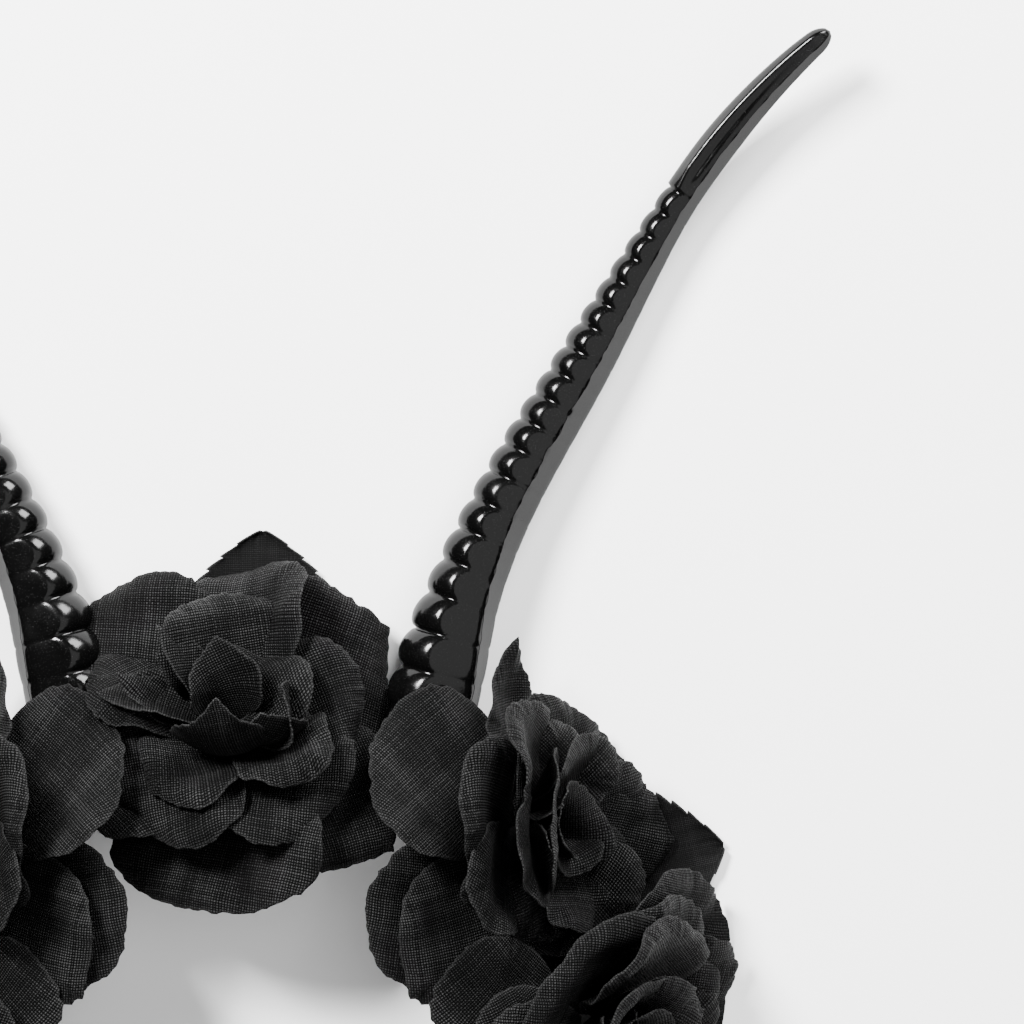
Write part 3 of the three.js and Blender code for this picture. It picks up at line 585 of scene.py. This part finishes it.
def horn_course(side):
    """The horn's middle line as a string of points, each with its radius and its place among the ribs."""
    steps = 400
    out = BAND_RADIUS + BAND_WALL / 2 + HORN_STANDOFF
    seat = math.radians(HORN_SEAT_ANGLE)
    point = ARCH + Vector((math.sin(seat) * out, math.cos(seat) * out, HORN_RADIUS - BAND_WIDTH / 2))
    edges = [rib_edge(number) for number in range(RIB_COUNT + 1)]
    points, girths, ribs = [], [], []
    for i in range(steps + 1):
        along = i / steps
        heading = math.radians(from_table(HORN_COURSE, "heading", along))
        rise = math.radians(from_table(HORN_COURSE, "rise", along))
        points.append((point.x * side, point.y, point.z))
        girths.append(HORN_RADIUS * from_table(HORN_COURSE, "girth", along))
        ribs.append(float(np.interp(along * HORN_LENGTH, edges, range(RIB_COUNT + 1))))
        step = Vector((math.sin(heading) * math.cos(rise), math.cos(heading) * math.cos(rise), math.sin(rise)))
        point = point + step * HORN_LENGTH / steps
    mesh = bpy.data.meshes.new("horn course")
    mesh.from_pydata(points, [(i, i + 1) for i in range(steps)], [])
    for label, values in (("girth", girths), ("rib", ribs)):
        mesh.attributes.new(label, "FLOAT", "POINT").data.foreach_set("value", values)
    obj = bpy.data.objects.new("horn course", mesh)
    bpy.context.scene.collection.objects.link(obj)
    return obj


HORN_INPUTS = {
    "Side": 1.0,
    "Start Angle": 50.0,
    "Sweep": 180.0,
    "Seam Gap": 0.8,
    "Seam Wave": 16.0,
    "Seam Drift": 30.0,
    "Rib Depth": 0.22,
    "Quiet Side": 0.06,
    "Bold Angle": 160.0,
    "Rib Fullness": 0.6,
    "Flat Angle": 81.0,
    "Flat Share": 0.889,
    "Flat Change": 0.0026,
    "Side Angle": 30.0,
    "Side Share": 0.92,
    "Side Change": -0.0037,
    "Under Angle": -10.0,
    "Under Share": 0.96,
    "Under Change": 0.0,
    "Flat Groove": 0.014,
    "Ridge Angle": 118.0,
    "Ridge Height": 0.12,
    "Tip Round": 0.022,
}


def horn_tree():
    """Lays a half shell of the ribbed horn round the course that comes in."""
    geometry = "NodeSocketGeometry"
    inputs = {"Geometry": (geometry, None)}
    inputs.update({name: (FLOAT, value) for name, value in HORN_INPUTS.items()})
    inputs.update({"Rings": ("NodeSocketInt", 420), "Sides": ("NodeSocketInt", 34)})
    inputs["Material"] = ("NodeSocketMaterial", None)
    tree, given, out = group_of("Horn Shell", "GeometryNodeTree", inputs, {"Geometry": (geometry, None)})
    curve = put(tree, "GeometryNodeMeshToCurve", {"Mesh": given["Geometry"]}).outputs[0]
    grid = put(
        tree,
        "GeometryNodeMeshGrid",
        {"Size X": 1.0, "Size Y": 1.0, "Vertices X": given["Rings"], "Vertices Y": given["Sides"]},
    )
    stored = put(
        tree,
        "GeometryNodeStoreNamedAttribute",
        {"Geometry": grid.outputs["Mesh"], "Name": "UVMap", "Value": grid.outputs["UV Map"]},
        data_type="FLOAT2",
        domain="CORNER",
    )
    place = put(tree, "GeometryNodeInputPosition").outputs[0]
    parts = put(tree, "ShaderNodeSeparateXYZ", {0: place})
    along = maths(tree, "ADD", parts.outputs[0], 0.5, clamp=True)
    across = maths(tree, "ADD", parts.outputs[1], 0.5, clamp=True)

    def sampled(name):
        field = put(tree, "GeometryNodeInputNamedAttribute", {"Name": name}, data_type="FLOAT").outputs[0]
        values = {"Curves": curve, "Value": field, "Factor": along}
        return put(tree, "GeometryNodeSampleCurve", values, mode="FACTOR", use_all_curves=True)

    girth = sampled("girth")
    rib = sampled("rib").outputs["Value"]
    tangent = girth.outputs["Tangent"]

    # The seam wanders, and its two edges keep a little gap.
    wander = put(
        tree,
        "ShaderNodeTexNoise",
        {"W": maths(tree, "MULTIPLY", along, 34.0), "Scale": 1.0, "Detail": 3.0},
        noise_dimensions="1D",
    ).outputs[0]
    wander = maths(tree, "MULTIPLY", maths(tree, "SUBTRACT", wander, 0.5), given["Seam Wave"])
    drift = maths(tree, "MULTIPLY", remapped(tree, along, 0.1, 0.32, -0.5, 0.5), given["Seam Drift"])
    first = maths(tree, "ADD", maths(tree, "ADD", given["Start Angle"], drift), maths(tree, "ADD", wander, given["Seam Gap"]))
    wide = maths(tree, "SUBTRACT", given["Sweep"], maths(tree, "MULTIPLY", given["Seam Gap"], 2.0))
    degrees = maths(tree, "MULTIPLY_ADD", across, wide, first)
    angle = maths(tree, "RADIANS", degrees)

    def facing(target):
        away = maths(tree, "SUBTRACT", degrees, target)
        return maths(tree, "COSINE", maths(tree, "RADIANS", away))

    bold = maths(tree, "POWER", maths(tree, "MULTIPLY_ADD", facing(given["Bold Angle"]), 0.5, 0.5), 1.8)
    side = maths(tree, "MULTIPLY_ADD", bold, maths(tree, "SUBTRACT", 1.0, given["Quiet Side"]), given["Quiet Side"])
    share = maths(tree, "FRACT", rib)
    swell = maths(
        tree,
        "POWER",
        maths(tree, "SINE", maths(tree, "MULTIPLY", maths(tree, "POWER", share, 0.868), math.pi)),
        given["Rib Fullness"],
    )
    ribbed = maths(tree, "COMPARE", rib, RIB_COUNT / 2, RIB_COUNT / 2 - 0.001)
    valley = maths(tree, "MULTIPLY", maths(tree, "SUBTRACT", 1.0, swell), maths(tree, "MULTIPLY", side, given["Rib Depth"]))
    radius = maths(tree, "SUBTRACT", 1.0, maths(tree, "MULTIPLY", valley, ribbed))

    # The point has a lengthwise ridge, which starts behind the last rib.
    blade_start = rib_edge(RIB_COUNT) / HORN_LENGTH
    blade = remapped(tree, along, blade_start, blade_start + 0.03, 0.0, 1.0)
    ridge = maths(tree, "POWER", maths(tree, "MAXIMUM", facing(given["Ridge Angle"]), 0.0), 26.0)
    groove = maths(tree, "POWER", maths(tree, "MAXIMUM", facing(maths(tree, "SUBTRACT", given["Ridge Angle"], 24.0)), 0.0), 30.0)
    relief = maths(tree, "SUBTRACT", ridge, maths(tree, "MULTIPLY", groove, 1.2))
    fading = maths(tree, "MULTIPLY", blade, remapped(tree, along, 0.8, 1.0, 1.0, 0.25))
    radius = maths(
        tree, "MULTIPLY_ADD", maths(tree, "MULTIPLY", relief, fading), given["Ridge Height"], radius
    )

    # The faces beside the beads are nearly flat, and turn a little with the seam.
    for face in ("Flat", "Side", "Under"):
        turned = maths(tree, "MULTIPLY_ADD", drift, 0.4, given[face + " Angle"])
        towards = maths(tree, "MAXIMUM", facing(turned), 0.05)
        depth = maths(tree, "MULTIPLY_ADD", drift, given[face + " Change"], given[face + " Share"])
        flat = maths(tree, "DIVIDE", depth, towards)
        radius = put(tree, "ShaderNodeMath", {0: radius, 1: flat, 2: 0.03}, operation="SMOOTH_MIN").outputs[0]

    faint = maths(tree, "MULTIPLY", maths(tree, "POWER", maths(tree, "SUBTRACT", 1.0, swell), 2.0), ribbed)
    radius = maths(tree, "SUBTRACT", radius, maths(tree, "MULTIPLY", faint, given["Flat Groove"]))

    into_end = remapped(tree, along, maths(tree, "SUBTRACT", 1.0, given["Tip Round"]), 1.0, 0.0, 1.0)
    rounding = maths(tree, "SQRT", maths(tree, "SUBTRACT", 1.0, maths(tree, "MULTIPLY", into_end, into_end)))
    radius = maths(tree, "MULTIPLY", maths(tree, "MULTIPLY", radius, rounding), girth.outputs["Value"])

    outer = put(tree, "ShaderNodeVectorMath", {0: tangent, 1: (0, 0, 1)}, operation="CROSS_PRODUCT").outputs[0]
    outer = put(tree, "ShaderNodeVectorMath", {0: outer}, operation="NORMALIZE").outputs[0]
    front = put(tree, "ShaderNodeVectorMath", {0: outer, 1: tangent}, operation="CROSS_PRODUCT").outputs[0]
    outer = put(tree, "ShaderNodeVectorMath", {0: outer, "Scale": given["Side"]}, operation="SCALE").outputs[0]
    sideways = maths(tree, "MULTIPLY", radius, maths(tree, "COSINE", angle))
    upwards = maths(tree, "MULTIPLY", radius, maths(tree, "SINE", angle))
    out_part = put(tree, "ShaderNodeVectorMath", {0: outer, "Scale": sideways}, operation="SCALE").outputs[0]
    up_part = put(tree, "ShaderNodeVectorMath", {0: front, "Scale": upwards}, operation="SCALE").outputs[0]
    total = put(tree, "ShaderNodeVectorMath", {0: girth.outputs["Position"], 1: out_part}, operation="ADD").outputs[0]
    total = put(tree, "ShaderNodeVectorMath", {0: total, 1: up_part}, operation="ADD").outputs[0]
    shaped = put(tree, "GeometryNodeSetPosition", {"Geometry": stored.outputs[0], "Position": total}).outputs[0]
    joined = put(tree, "GeometryNodeMergeByDistance", {"Geometry": shaped, "Distance": 2e-6}).outputs[0]
    smoothed = put(tree, "GeometryNodeSetShadeSmooth", {"Geometry": joined}).outputs[0]
    uses = put(tree, "GeometryNodeInputMeshEdgeNeighbors").outputs[0]
    values = {"Geometry": smoothed, "Selection": maths(tree, "COMPARE", uses, 1.0, 0.5), "Shade Smooth": False}
    smoothed = put(tree, "GeometryNodeSetShadeSmooth", values, domain="EDGE").outputs[0]
    realized = put(tree, "GeometryNodeRealizeInstances", {"Geometry": smoothed}).outputs[0]
    finished = put(tree, "GeometryNodeSetMaterial", {"Geometry": realized, "Material": given["Material"]})
    tree.links.new(finished.outputs[0], out["Geometry"])
    return tree


def baked(obj, name, tree, values):
    """The plain mesh that a Geometry Nodes tree makes of an object, as a new object at the origin."""
    modifier = obj.modifiers.new("Nodes", "NODES")
    modifier.node_group = tree
    for item in tree.interface.items_tree:
        if item.item_type == "SOCKET" and item.in_out == "INPUT" and item.name in values:
            modifier[item.identifier] = values[item.name]
    graph = bpy.context.evaluated_depsgraph_get()
    graph.update()
    mesh = bpy.data.meshes.new_from_object(obj.evaluated_get(graph), preserve_all_data_layers=True, depsgraph=graph)
    obj.modifiers.remove(modifier)
    made = bpy.data.objects.new(name, mesh)
    bpy.context.scene.collection.objects.link(made)
    return made


def turn_outwards(obj, inside):
    """Turns an open shell's faces away from its inner line of points."""
    mesh = obj.data
    centres = np.array([p.center for p in mesh.polygons])
    normals = np.array([p.normal for p in mesh.polygons])
    nearest = np.array([inside[np.argmin(np.linalg.norm(inside - c, axis=1))] for c in centres[::97]])
    if np.sum((centres[::97] - nearest) * normals[::97]) < 0:
        mesh.flip_normals()


def horn_foot_pieces(side, material):
    """The foot keeps its CAD shape, with its doubles merged and its corners softened."""
    return softened(f"horn_{side}_foot", material)


def softened(node, material, width=0.35 * MM):
    """A smooth-cornered copy of a CAD node."""
    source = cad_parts[node]
    mesh = source.data.copy()
    mesh.name = node + "_fine"
    work = bmesh.new()
    work.from_mesh(mesh)
    bmesh.ops.remove_doubles(work, verts=work.verts, dist=1e-6)
    flat = [e for e in work.edges if len(e.link_faces) == 2 and e.calc_face_angle() < 0.01]
    bmesh.ops.dissolve_edges(work, edges=flat, use_verts=False)
    work.to_mesh(mesh)
    work.free()
    obj = bpy.data.objects.new(node + "_fine", mesh)
    bpy.context.scene.collection.objects.link(obj)
    bevel = obj.modifiers.new("Bevel", "BEVEL")
    bevel.width = width
    bevel.segments = 2
    bevel.limit_method = "ANGLE"
    bevel.angle_limit = math.radians(20)
    mesh.shade_smooth()
    finish_piece(obj, [node], material)
    return obj


def band_piece(material):
    """The hoop: a round-cornered strip that is bent over the crown and runs out into two tapering arms."""
    crown = math.radians(CROWN_HALF_SWEEP)
    arm_turn = ARM_LENGTH / ARM_RADIUS
    arm_centre = np.array((math.sin(crown), math.cos(crown))) * (BAND_RADIUS - ARM_RADIUS)
    half = []
    for i in range(61):
        angle = crown * i / 60
        half.append((angle, np.array((math.sin(angle), math.cos(angle))) * BAND_RADIUS, 1.0))
    for i in range(1, 41):
        run = 1 - (1 - i / 40) ** 1.3
        angle = crown + arm_turn * run
        place = np.array((math.sin(angle), math.cos(angle))) * ARM_RADIUS + arm_centre
        left = (1 - run) * ARM_LENGTH / (7 * MM)
        half.append((angle, place, min(1.0, 0.35 + 0.65 * math.sqrt(max(0.0, 1 - (1 - min(left, 1)) ** 2)))))
    course = [(-a, p * (-1, 1), w) for a, p, w in reversed(half[1:])] + half
    corner = 0.7 * MM
    section = []
    for ox, oz, start in ((1, 1, 0), (-1, 1, 90), (-1, -1, 180), (1, -1, 270)):
        for step in range(5):
            turn = math.radians(start + 22.5 * step)
            x = ox * (BAND_WALL / 2 - corner) + corner * math.cos(turn)
            section.append((x, oz, corner * math.sin(turn)))
    points, faces = [], []
    for angle, place, width in course:
        for x, oz, rise in section:
            z = oz * (BAND_WIDTH / 2 * width - corner) + rise
            away = np.array((math.sin(angle), math.cos(angle))) * x
            points.append((ARCH[0] + place[0] + away[0], ARCH[1] + place[1] + away[1], ARCH[2] + z))
    sides = len(section)
    for i in range(len(course) - 1):
        for j in range(sides):
            a, b = i * sides + j, i * sides + (j + 1) % sides
            faces.append((a, a + sides, b + sides, b))
    faces.append(tuple(range(sides)))
    faces.append(tuple(range(len(points) - 1, len(points) - 1 - sides, -1)))
    obj = plain_mesh("hoop", points, faces)
    work = bmesh.new()
    work.from_mesh(obj.data)
    bmesh.ops.recalc_face_normals(work, faces=work.faces)
    work.to_mesh(obj.data)
    work.free()
    finish_piece(obj, ["band"], material)
    return obj


# Roses
def sheet_faces(rings, segments, start):
    """Quads between rings, with triangles round the middle."""
    faces = []
    for j in range(segments):
        k = (j + 1) % segments
        faces.append((start, start + 1 + j, start + 1 + k))
        for i in range(rings - 1):
            a, b = start + 1 + i * segments + j, start + 1 + i * segments + k
            faces.append((a, a + segments, b + segments, b))
    return faces


STRIP_SHARE = 0.4  # of a square, below which a layer's flat size is reckoned as its petals' widths side by side; nothing uses that size


def flat_area(cut):
    x, y = cut[-1, :, 0], cut[-1, :, 1]
    return abs(float(np.dot(x, np.roll(y, -1)) - np.dot(y, np.roll(x, -1)))) / 2


def petal_piece(seat, depth, wall, material):
    """One layer of a rose, as a single piece of cloth with its overlapping petals."""
    layer = LAYERS[depth]
    points, uv, rim, faces, area, reach = [], [], [], [], 0.0, 0.0
    for index, (grid, cut, inset) in enumerate(petal_layer(seat, depth)):
        rings, segments = grid.shape[0] - 1, grid.shape[1]
        start = sum(len(block) for block in points)
        points.append(np.concatenate([grid[0, :1], grid[1:].reshape(-1, 3)]))
        angle = math.radians(seat.rows[layer.name][index].azimuth)
        turn = np.array(((math.cos(angle), math.sin(angle)), (-math.sin(angle), math.cos(angle))))
        flat = np.concatenate([cut[0, :1], cut[1:].reshape(-1, 2)]) @ turn
        uv.append(flat + (0.3 * depth, 0.1 * index))
        # Rim mask: where the paler colour goes, partly fray and partly a painted highlight on the petal's edge.
        near = smooth(-0.7 * MM, -0.1 * MM, np.concatenate([inset[0, :1], inset[1:].ravel()]))
        rim.append(near)
        faces += sheet_faces(rings, segments, start)
        area += flat_area(cut)
        reach = max(reach, float(cut[..., 1].max()))
    if seat.mirrored:
        faces = [face[::-1] for face in faces]
    name = f"{seat.name}_{layer.name}_cloth"
    obj = plain_mesh(name, np.concatenate(points), faces, [("rim", np.concatenate(rim))], np.concatenate(uv))
    solid = obj.modifiers.new("Wall", "SOLIDIFY")
    solid.thickness = wall
    solid.offset = 0
    finish_piece(obj, [f"{seat.name}_{layer.name}"], material)
    width = 2 * (reach + HUB_RADIUS)
    flat = (width, width)
    if area < STRIP_SHARE * width * width:
        flat = (sum(petal.width for petal in seat.rows[layer.name]) * MM, reach)
    return obj


# Leaves
LeafSeat = namedtuple("LeafSeat", "name at heading length width")
LEAF_SEATS = [
    LeafSeat("leaf_top", 1, 89, 44 * MM, 33 * MM),
    LeafSeat("leaf_right", 62, 12, 46 * MM, 33 * MM),
    LeafSeat("leaf_left", -66, 170, 46 * MM, 33 * MM),
]


def leaf_piece(seat, wall, material):
    """A toothed leaf that comes down off the hoop and lies on the surface, folded along its midrib."""
    out = BAND_RADIUS + BAND_WALL / 2 + 0.8 * MM
    at, heading = math.radians(seat.at), math.radians(seat.heading)
    root = np.array((ARCH[0] + math.sin(at) * out, ARCH[1] + math.cos(at) * out, 0))
    forward = np.array((math.cos(heading), math.sin(heading), 0))
    sideways = np.array((-forward[1], forward[0], 0))
    rows, columns, teeth = 150, 28, 15
    points, uv, rim, faces = [], [], [], []
    for i in range(rows + 1):
        share = i / rows
        belly = math.sin(math.pi * share**1.15) ** 0.85
        half = (seat.width * belly + 5 * MM * (1 - share) + 1.5 * MM * share) / 2
        tooth = (share * teeth) % 1
        notch = 1.2 * MM * tooth**1.4 * min(1, 8 * (1 - share)) * min(1, 5 * share)
        drop = float(smooth(0, 0.34, np.array(share)))
        for j in range(columns + 1):
            side = 2 * j / columns - 1
            spread = side * (half - notch * abs(side) ** 6)
            vein = 0.25 * MM * math.sin((share * 9 - abs(side) * 2.2) * 2 * math.pi) * abs(side) ** 0.5
            low = 0.7 * MM + 1.4 * MM * side * side * drop + vein * drop * 0.5 + 0.25 * MM * drop
            height = (1 - drop) * ARCH[2] + drop * low
            points.append(root + forward * share * seat.length + sideways * spread + (0, 0, height))
            uv.append((share * seat.length, side * half))
            # Rim mask along the leaf's edge: partly fray and partly a painted highlight.
            rim.append(float(smooth(0.93, 0.99, np.array(abs(side)))))
    for i in range(rows):
        for j in range(columns):
            a = i * (columns + 1) + j
            faces.append((a, a + columns + 1, a + columns + 2, a + 1))
    obj = plain_mesh(seat.name + "_cloth", points, [face[::-1] for face in faces], [("rim", rim)], uv)
    solid = obj.modifiers.new("Wall", "SOLIDIFY")
    solid.thickness = wall
    solid.offset = 0
    finish_piece(obj, [seat.name], material)
    return obj


# Settings
class BandSettings(bpy.types.PropertyGroup):
    tone: FloatVectorProperty(
        name="Plastic", description="Colour of the hoop and the calyxes", subtype="COLOR", size=4,
        min=0, max=1, default=(0.008, 0.008, 0.008, 1),
    )


class HornSettings(bpy.types.PropertyGroup):
    rib_depth: FloatProperty(
        name="Rib depth", description="Share of the horn's radius", default=0.22, min=0, max=0.5, subtype="FACTOR"
    )
    wall: FloatProperty(
        name="Wall", description="Thickness of the half shells", default=0.8 * MM, min=0.0003, max=0.003,
        subtype="DISTANCE", unit="LENGTH",
    )
    rings: IntProperty(name="Rings", description="Rings along the horn", default=420, min=100, max=900)
    tone: FloatVectorProperty(
        name="Gloss", description="Colour of the horns", subtype="COLOR", size=4, min=0, max=1,
        default=(0.001, 0.001, 0.001, 1),
    )


class ClothSettings(bpy.types.PropertyGroup):
    wall: FloatProperty(
        name="Cloth", description="Thickness of the cloth", default=0.35 * MM, min=0.0001, max=0.002,
        subtype="DISTANCE", unit="LENGTH",
    )
    pitch: FloatProperty(
        name="Thread pitch", description="From one thread to the next", default=0.6 * MM, min=0.0002, max=0.002,
        subtype="DISTANCE", unit="LENGTH",
    )
    # Gaps: painted shade between the threads. Threads: their crowns take this colour as a painted glint.
    dark: FloatVectorProperty(
        name="Gaps", description="Colour between the threads", subtype="COLOR", size=4, min=0, max=1,
        default=(0.0004, 0.0004, 0.0004, 1),
    )
    light: FloatVectorProperty(
        name="Threads", description="Colour of the threads", subtype="COLOR", size=4, min=0, max=1,
        default=(0.021, 0.021, 0.021, 1),
    )


class StageSettings(bpy.types.PropertyGroup):
    distance: FloatProperty(
        name="Camera distance", description="From the roses' height to the camera", default=1.2016, min=0.3,
        max=5, subtype="DISTANCE", unit="LENGTH",
    )
    view_width: FloatProperty(
        name="View width", description="Width of the view at the roses' height", default=0.2253, min=0.05,
        max=1, subtype="DISTANCE", unit="LENGTH",
    )


# The lights over the floor: where each is, its width and its power.
LIGHTS = [
    ("key", (-0.55, 0.62, 0.85), 0.34, 78),
    ("far", (0.6, 0.9, 0.55), 0.5, 48),
    ("near", (0.0, -1.0, 0.75), 0.6, 6),
    ("side", (0.65, -0.1, 1.5), 1.6, 17),
]


# Operators
class AddBand(bpy.types.Operator):
    """Adds the hoop, the horns' feet and the roses' calyxes"""

    bl_idname = "headband.add_band"
    bl_label = "Add Hoop"

    def execute(self, context):
        plastic = gloss_material("Satin plastic", tuple(context.scene.headband_band.tone), 0.35, 0.3)
        band_piece(plastic)
        for side in ("right", "left"):
            softened(f"horn_{side}_foot", plastic)
        for seat in SEATS:
            softened(f"{seat.name}_calyx", plastic)
        return {"FINISHED"}


class AddHorns(bpy.types.Operator):
    """Adds the two ribbed horns, each as two half shells with a wandering seam"""

    bl_idname = "headband.add_horns"
    bl_label = "Add Horns"

    def execute(self, context):
        settings = context.scene.headband_horns
        gloss = gloss_material("Horn gloss", tuple(settings.tone), 0.11, 0.64)
        tree = horn_tree()
        for name, side in (("right", 1), ("left", -1)):
            course = horn_course(side)
            inside = np.array([v.co for v in course.data.vertices])
            for shell, start in (("front_shell", 48.0), ("rear_shell", 228.0)):
                values = {
                    "Side": float(side),
                    "Start Angle": start,
                    "Rib Depth": settings.rib_depth,
                    "Rings": settings.rings,
                    "Material": gloss,
                }
                obj = baked(course, f"horn_{name}_{shell}_fine", tree, values)
                turn_outwards(obj, inside)
                solid = obj.modifiers.new("Wall", "SOLIDIFY")
                solid.thickness = settings.wall
                solid.offset = -1
                finish_piece(obj, [f"horn_{name}_{shell}"], gloss)
            bpy.data.objects.remove(course)
        return {"FINISHED"}


class AddRoses(bpy.types.Operator):
    """Adds the five cloth roses, layer by layer"""

    bl_idname = "headband.add_roses"
    bl_label = "Add Roses"

    def execute(self, context):
        settings = context.scene.headband_cloth
        weave = bpy.data.node_groups.get("Weave") or weave_group()
        # The third colour is the paler rim, partly fray and partly a painted highlight on the petals' edges.
        cloth = cloth_material(
            "Petal cloth", weave, settings.pitch, tuple(settings.dark), tuple(settings.light),
            (0.016, 0.016, 0.016, 1), 0.45, 0.0004, 0.0,
        )
        for seat in SEATS:
            for depth in range(len(LAYERS)):
                petal_piece(seat, depth, settings.wall, cloth)
        return {"FINISHED"}


class AddLeaves(bpy.types.Operator):
    """Adds the three toothed leaves"""

    bl_idname = "headband.add_leaves"
    bl_label = "Add Leaves"

    def execute(self, context):
        settings = context.scene.headband_cloth
        weave = bpy.data.node_groups.get("Weave") or weave_group()
        # The third colour is the paler rim, partly fray and partly a painted highlight on the leaves' edges.
        cloth = cloth_material(
            "Leaf cloth", weave, settings.pitch * 0.7, (0.002, 0.002, 0.002, 1), (0.01, 0.01, 0.01, 1),
            (0.022, 0.022, 0.022, 1), 0.65, 0.0001, 0.0,
        )
        for seat in LEAF_SEATS:
            leaf_piece(seat, settings.wall, cloth)
        return {"FINISHED"}


def area_light(name, place, target, size, power):
    data = bpy.data.lights.new(name, "AREA")
    data.shape = "RECTANGLE"
    data.size, data.size_y = size
    data.energy = power
    obj = bpy.data.objects.new(name, data)
    obj.location = place
    obj.rotation_euler = (Vector(target) - Vector(place)).to_track_quat("-Z", "Y").to_euler()
    bpy.context.scene.collection.objects.link(obj)
    return obj


class AddStage(bpy.types.Operator):
    """Adds the pale floor, the soft studio light and the camera straight above"""

    bl_idname = "headband.add_stage"
    bl_label = "Add Stage"

    def execute(self, context):
        settings = context.scene.headband_stage
        bpy.ops.mesh.primitive_plane_add(size=8, location=(0, 0, 0))
        floor = context.active_object
        floor.name = "floor"
        floor.data.materials.append(stage_material())
        world = bpy.data.worlds.new("Studio")
        world.use_nodes = True
        world.node_tree.nodes["Background"].inputs[0].default_value = (1, 1, 1, 1)
        world.node_tree.nodes["Background"].inputs[1].default_value = 0.03
        context.scene.world = world
        for name, place, size, power in LIGHTS:
            area_light(name, place, (0.04, 0, 0), (size, size), power)
        middle = Vector((57.6 * MM, ARCH.y + 116.03 * MM, 20 * MM))
        data = bpy.data.cameras.new("camera")
        data.sensor_width = 36
        data.lens = data.sensor_width * settings.distance / settings.view_width
        data.clip_end = 20
        camera = bpy.data.objects.new("camera", data)
        camera.location = middle + Vector((0, 0, settings.distance))
        context.scene.collection.objects.link(camera)
        context.scene.camera = camera
        return {"FINISHED"}


class HeadbandPanel(bpy.types.Panel):
    """Lists the headband's pieces and their settings"""

    bl_idname = "VIEW3D_PT_headband"
    bl_label = "Headband"
    bl_space_type = "VIEW_3D"
    bl_region_type = "UI"
    bl_category = "Headband"

    def draw(self, context):
        scene = context.scene
        sections = (
            (AddBand, scene.headband_band, ("tone",)),
            (AddHorns, scene.headband_horns, ("rib_depth", "wall", "rings", "tone")),
            (AddRoses, scene.headband_cloth, ("wall", "pitch", "dark", "light")),
            (AddLeaves, None, ()),
            (AddStage, scene.headband_stage, ("distance", "view_width")),
        )
        for operator, settings, names in sections:
            box = self.layout.box()
            for name in names:
                box.prop(settings, name)
            box.operator(operator.bl_idname)


SETTINGS = {
    "headband_band": BandSettings,
    "headband_horns": HornSettings,
    "headband_cloth": ClothSettings,
    "headband_stage": StageSettings,
}
OPERATORS = (AddStage, AddBand, AddHorns, AddRoses, AddLeaves)


def register():
    for made in (*SETTINGS.values(), *OPERATORS, HeadbandPanel):
        bpy.utils.register_class(made)
    for name, made in SETTINGS.items():
        setattr(bpy.types.Scene, name, PointerProperty(type=made))


def unregister():
    for name in SETTINGS:
        delattr(bpy.types.Scene, name)
    for made in reversed((*SETTINGS.values(), *OPERATORS, HeadbandPanel)):
        bpy.utils.unregister_class(made)


def main():
    register()
    bpy.ops.headband.add_stage()
    bpy.ops.headband.add_band()
    bpy.ops.headband.add_horns()
    bpy.ops.headband.add_roses()
    bpy.ops.headband.add_leaves()


if __name__ == "__main__":
    main()
